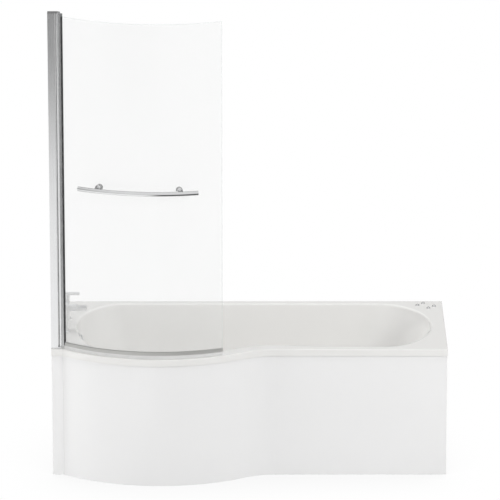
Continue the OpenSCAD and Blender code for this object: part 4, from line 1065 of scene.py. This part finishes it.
class SHOWERBATH_OT_screen_glass(bpy.types.Operator):
    """Curved glass with polished edges, its gasket, foot rail and seal"""

    bl_idname = "shower_bath.screen_glass"
    bl_label = "Screen glass"

    def execute(self, context):
        sizes = context.scene.shower_bath_glass
        plan = BathPlan(context.scene.shower_bath_shell)
        centre = Vector((plan.bow_x, plan.bow_y))
        glass = new_piece("curved_glass", self.rings(sizes, centre), "screen", "glass")
        dress(glass, "clear_glass", "polished_glass_edge")
        cut_holes(glass, [(place, away, sizes.bolt_hole, BOLT_HOLE_DEPTH)
                          for place, away in self.bolts(sizes, centre)])
        for polygon in glass.data.polygons:
            polygon.material_index = int(not self.is_face(polygon, centre))
        smooth_sharp(glass, GLASS_SHARP)
        dress_nodes({
            # The gasket is drawn black, and so gives a dark line along the glass's edge
            "black_rubber": ["glass_gasket"],
            "soft_clear_seal": ["bottom_seal"],
            # The foot rail takes the darker copy of the aluminium, with its painted shade
            "foot_rail_aluminium": ["bottom_rail"],
        })
        return {"FINISHED"}

    def rings(self, sizes, centre):
        """Upright rings round the bend: the glass's section with its polished chamfers."""
        half, p = sizes.thickness / 2, sizes.polish
        low, high = GLASS_LOW.z, GLASS_HIGH.z
        section = [(-half + p, low), (-half, low + p), (-half, high - p), (-half + p, high),
                   (half - p, high), (half, high - p), (half, low + p), (half - p, low)]
        start, stop = (asin((x - centre.x) / (sizes.radius + half))
                       for x in (GLASS_LOW.x, GLASS_HIGH.x))
        turn = p / sizes.radius

        def ring(a, inset):
            made = []
            for r, z in section:
                reach = sizes.radius + max(-half + inset, min(half - inset, r))
                z = max(low + inset, min(high - inset, z))
                made.append((centre.x + reach * sin(a), centre.y - reach * cos(a), z))
            return made

        span = stop - start - 2 * turn
        steps = sizes.steps
        middle = [ring(start + turn + span * k / steps, 0) for k in range(steps + 1)]
        return [ring(start, p)] + middle + [ring(stop, p)]

    @staticmethod
    def is_face(polygon, centre):
        """Whether a polygon is on one of the glass's two curved faces."""
        radial = (polygon.center.xy - centre).normalized()
        turned = polygon.normal.xy.normalized().dot(radial)
        return abs(polygon.normal.z) < FACE_TILT and abs(turned) > FACE_TURN

    @staticmethod
    def bolts(sizes, centre):
        """Middle of the glass and direction at each of the towel rail's two bolts."""
        places = [v.co for v in NODES["rail_bolts"].data.vertices]
        middle = sum(place.x for place in places) / len(places)
        found = []
        for side in (-1, 1):
            group = [place for place in places if (place.x - middle) * side > 0]
            low, high = (Vector([pick(place[axis] for place in group) for axis in range(3)])
                         for pick in (min, max))
            bolt = (low + high) / 2
            away = (bolt.xy - centre).normalized()
            found.append(((*(centre + away * sizes.radius), bolt.z), (*away, 0.0)))
        return found


class SHOWERBATH_OT_towel_rail(bpy.types.Operator):
    """Towel rail on the glass, with its standoffs and discs"""

    bl_idname = "shower_bath.towel_rail"
    bl_label = "Towel rail"

    def execute(self, context):
        dress_nodes({
            "polished_chrome": ["towel_rail", "rail_standoffs", "rail_back_discs"],
            "spangled_zinc": ["rail_bolts"],
            "soft_clear_seal": ["rail_washers"],
        })
        return {"FINISHED"}


# ---- Panel and registration ----

class SHOWERBATH_PT_pieces(bpy.types.Panel):
    """Sizes, finishes and one button for each group of pieces"""

    bl_idname = "SHOWERBATH_PT_pieces"
    bl_label = "Shower bath"
    bl_space_type = "VIEW_3D"
    bl_region_type = "UI"
    bl_category = "Shower bath"

    def draw(self, context):
        for operator in OPERATORS:
            self.layout.operator(operator.bl_idname)
        for name, (group, title) in SETTINGS.items():
            box = self.layout.box()
            box.label(text=title)
            for key in group.__annotations__:
                box.prop(getattr(context.scene, name), key)


SETTINGS = {
    "shower_bath_shell": (ShellSizes, "Bath shell"),
    "shower_bath_hose": (HoseSizes, "Overflow hose"),
    "shower_bath_glass": (GlassSizes, "Screen glass"),
    "shower_bath_finishes": (Finishes, "Finishes"),
    "shower_bath_studio": (Studio, "Studio"),
}
OPERATORS = (
    SHOWERBATH_OT_studio,
    SHOWERBATH_OT_shell,
    SHOWERBATH_OT_front_panel,
    SHOWERBATH_OT_leg_frame,
    SHOWERBATH_OT_waste,
    SHOWERBATH_OT_hose,
    SHOWERBATH_OT_tap,
    SHOWERBATH_OT_wall_profiles,
    SHOWERBATH_OT_screen_glass,
    SHOWERBATH_OT_towel_rail,
)


def register():
    for name, (group, title) in SETTINGS.items():
        bpy.utils.register_class(group)
        setattr(bpy.types.Scene, name, PointerProperty(type=group, name=title))
    for cls in (*OPERATORS, SHOWERBATH_PT_pieces):
        bpy.utils.register_class(cls)


def unregister():
    for cls in reversed((*OPERATORS, SHOWERBATH_PT_pieces)):
        bpy.utils.unregister_class(cls)
    for name, (group, title) in SETTINGS.items():
        delattr(bpy.types.Scene, name)
        bpy.utils.unregister_class(group)


def main():
    register()
    for operator in OPERATORS:
        group, call = operator.bl_idname.split(".")
        getattr(getattr(bpy.ops, group), call)()


if __name__ == "__main__":
    main()
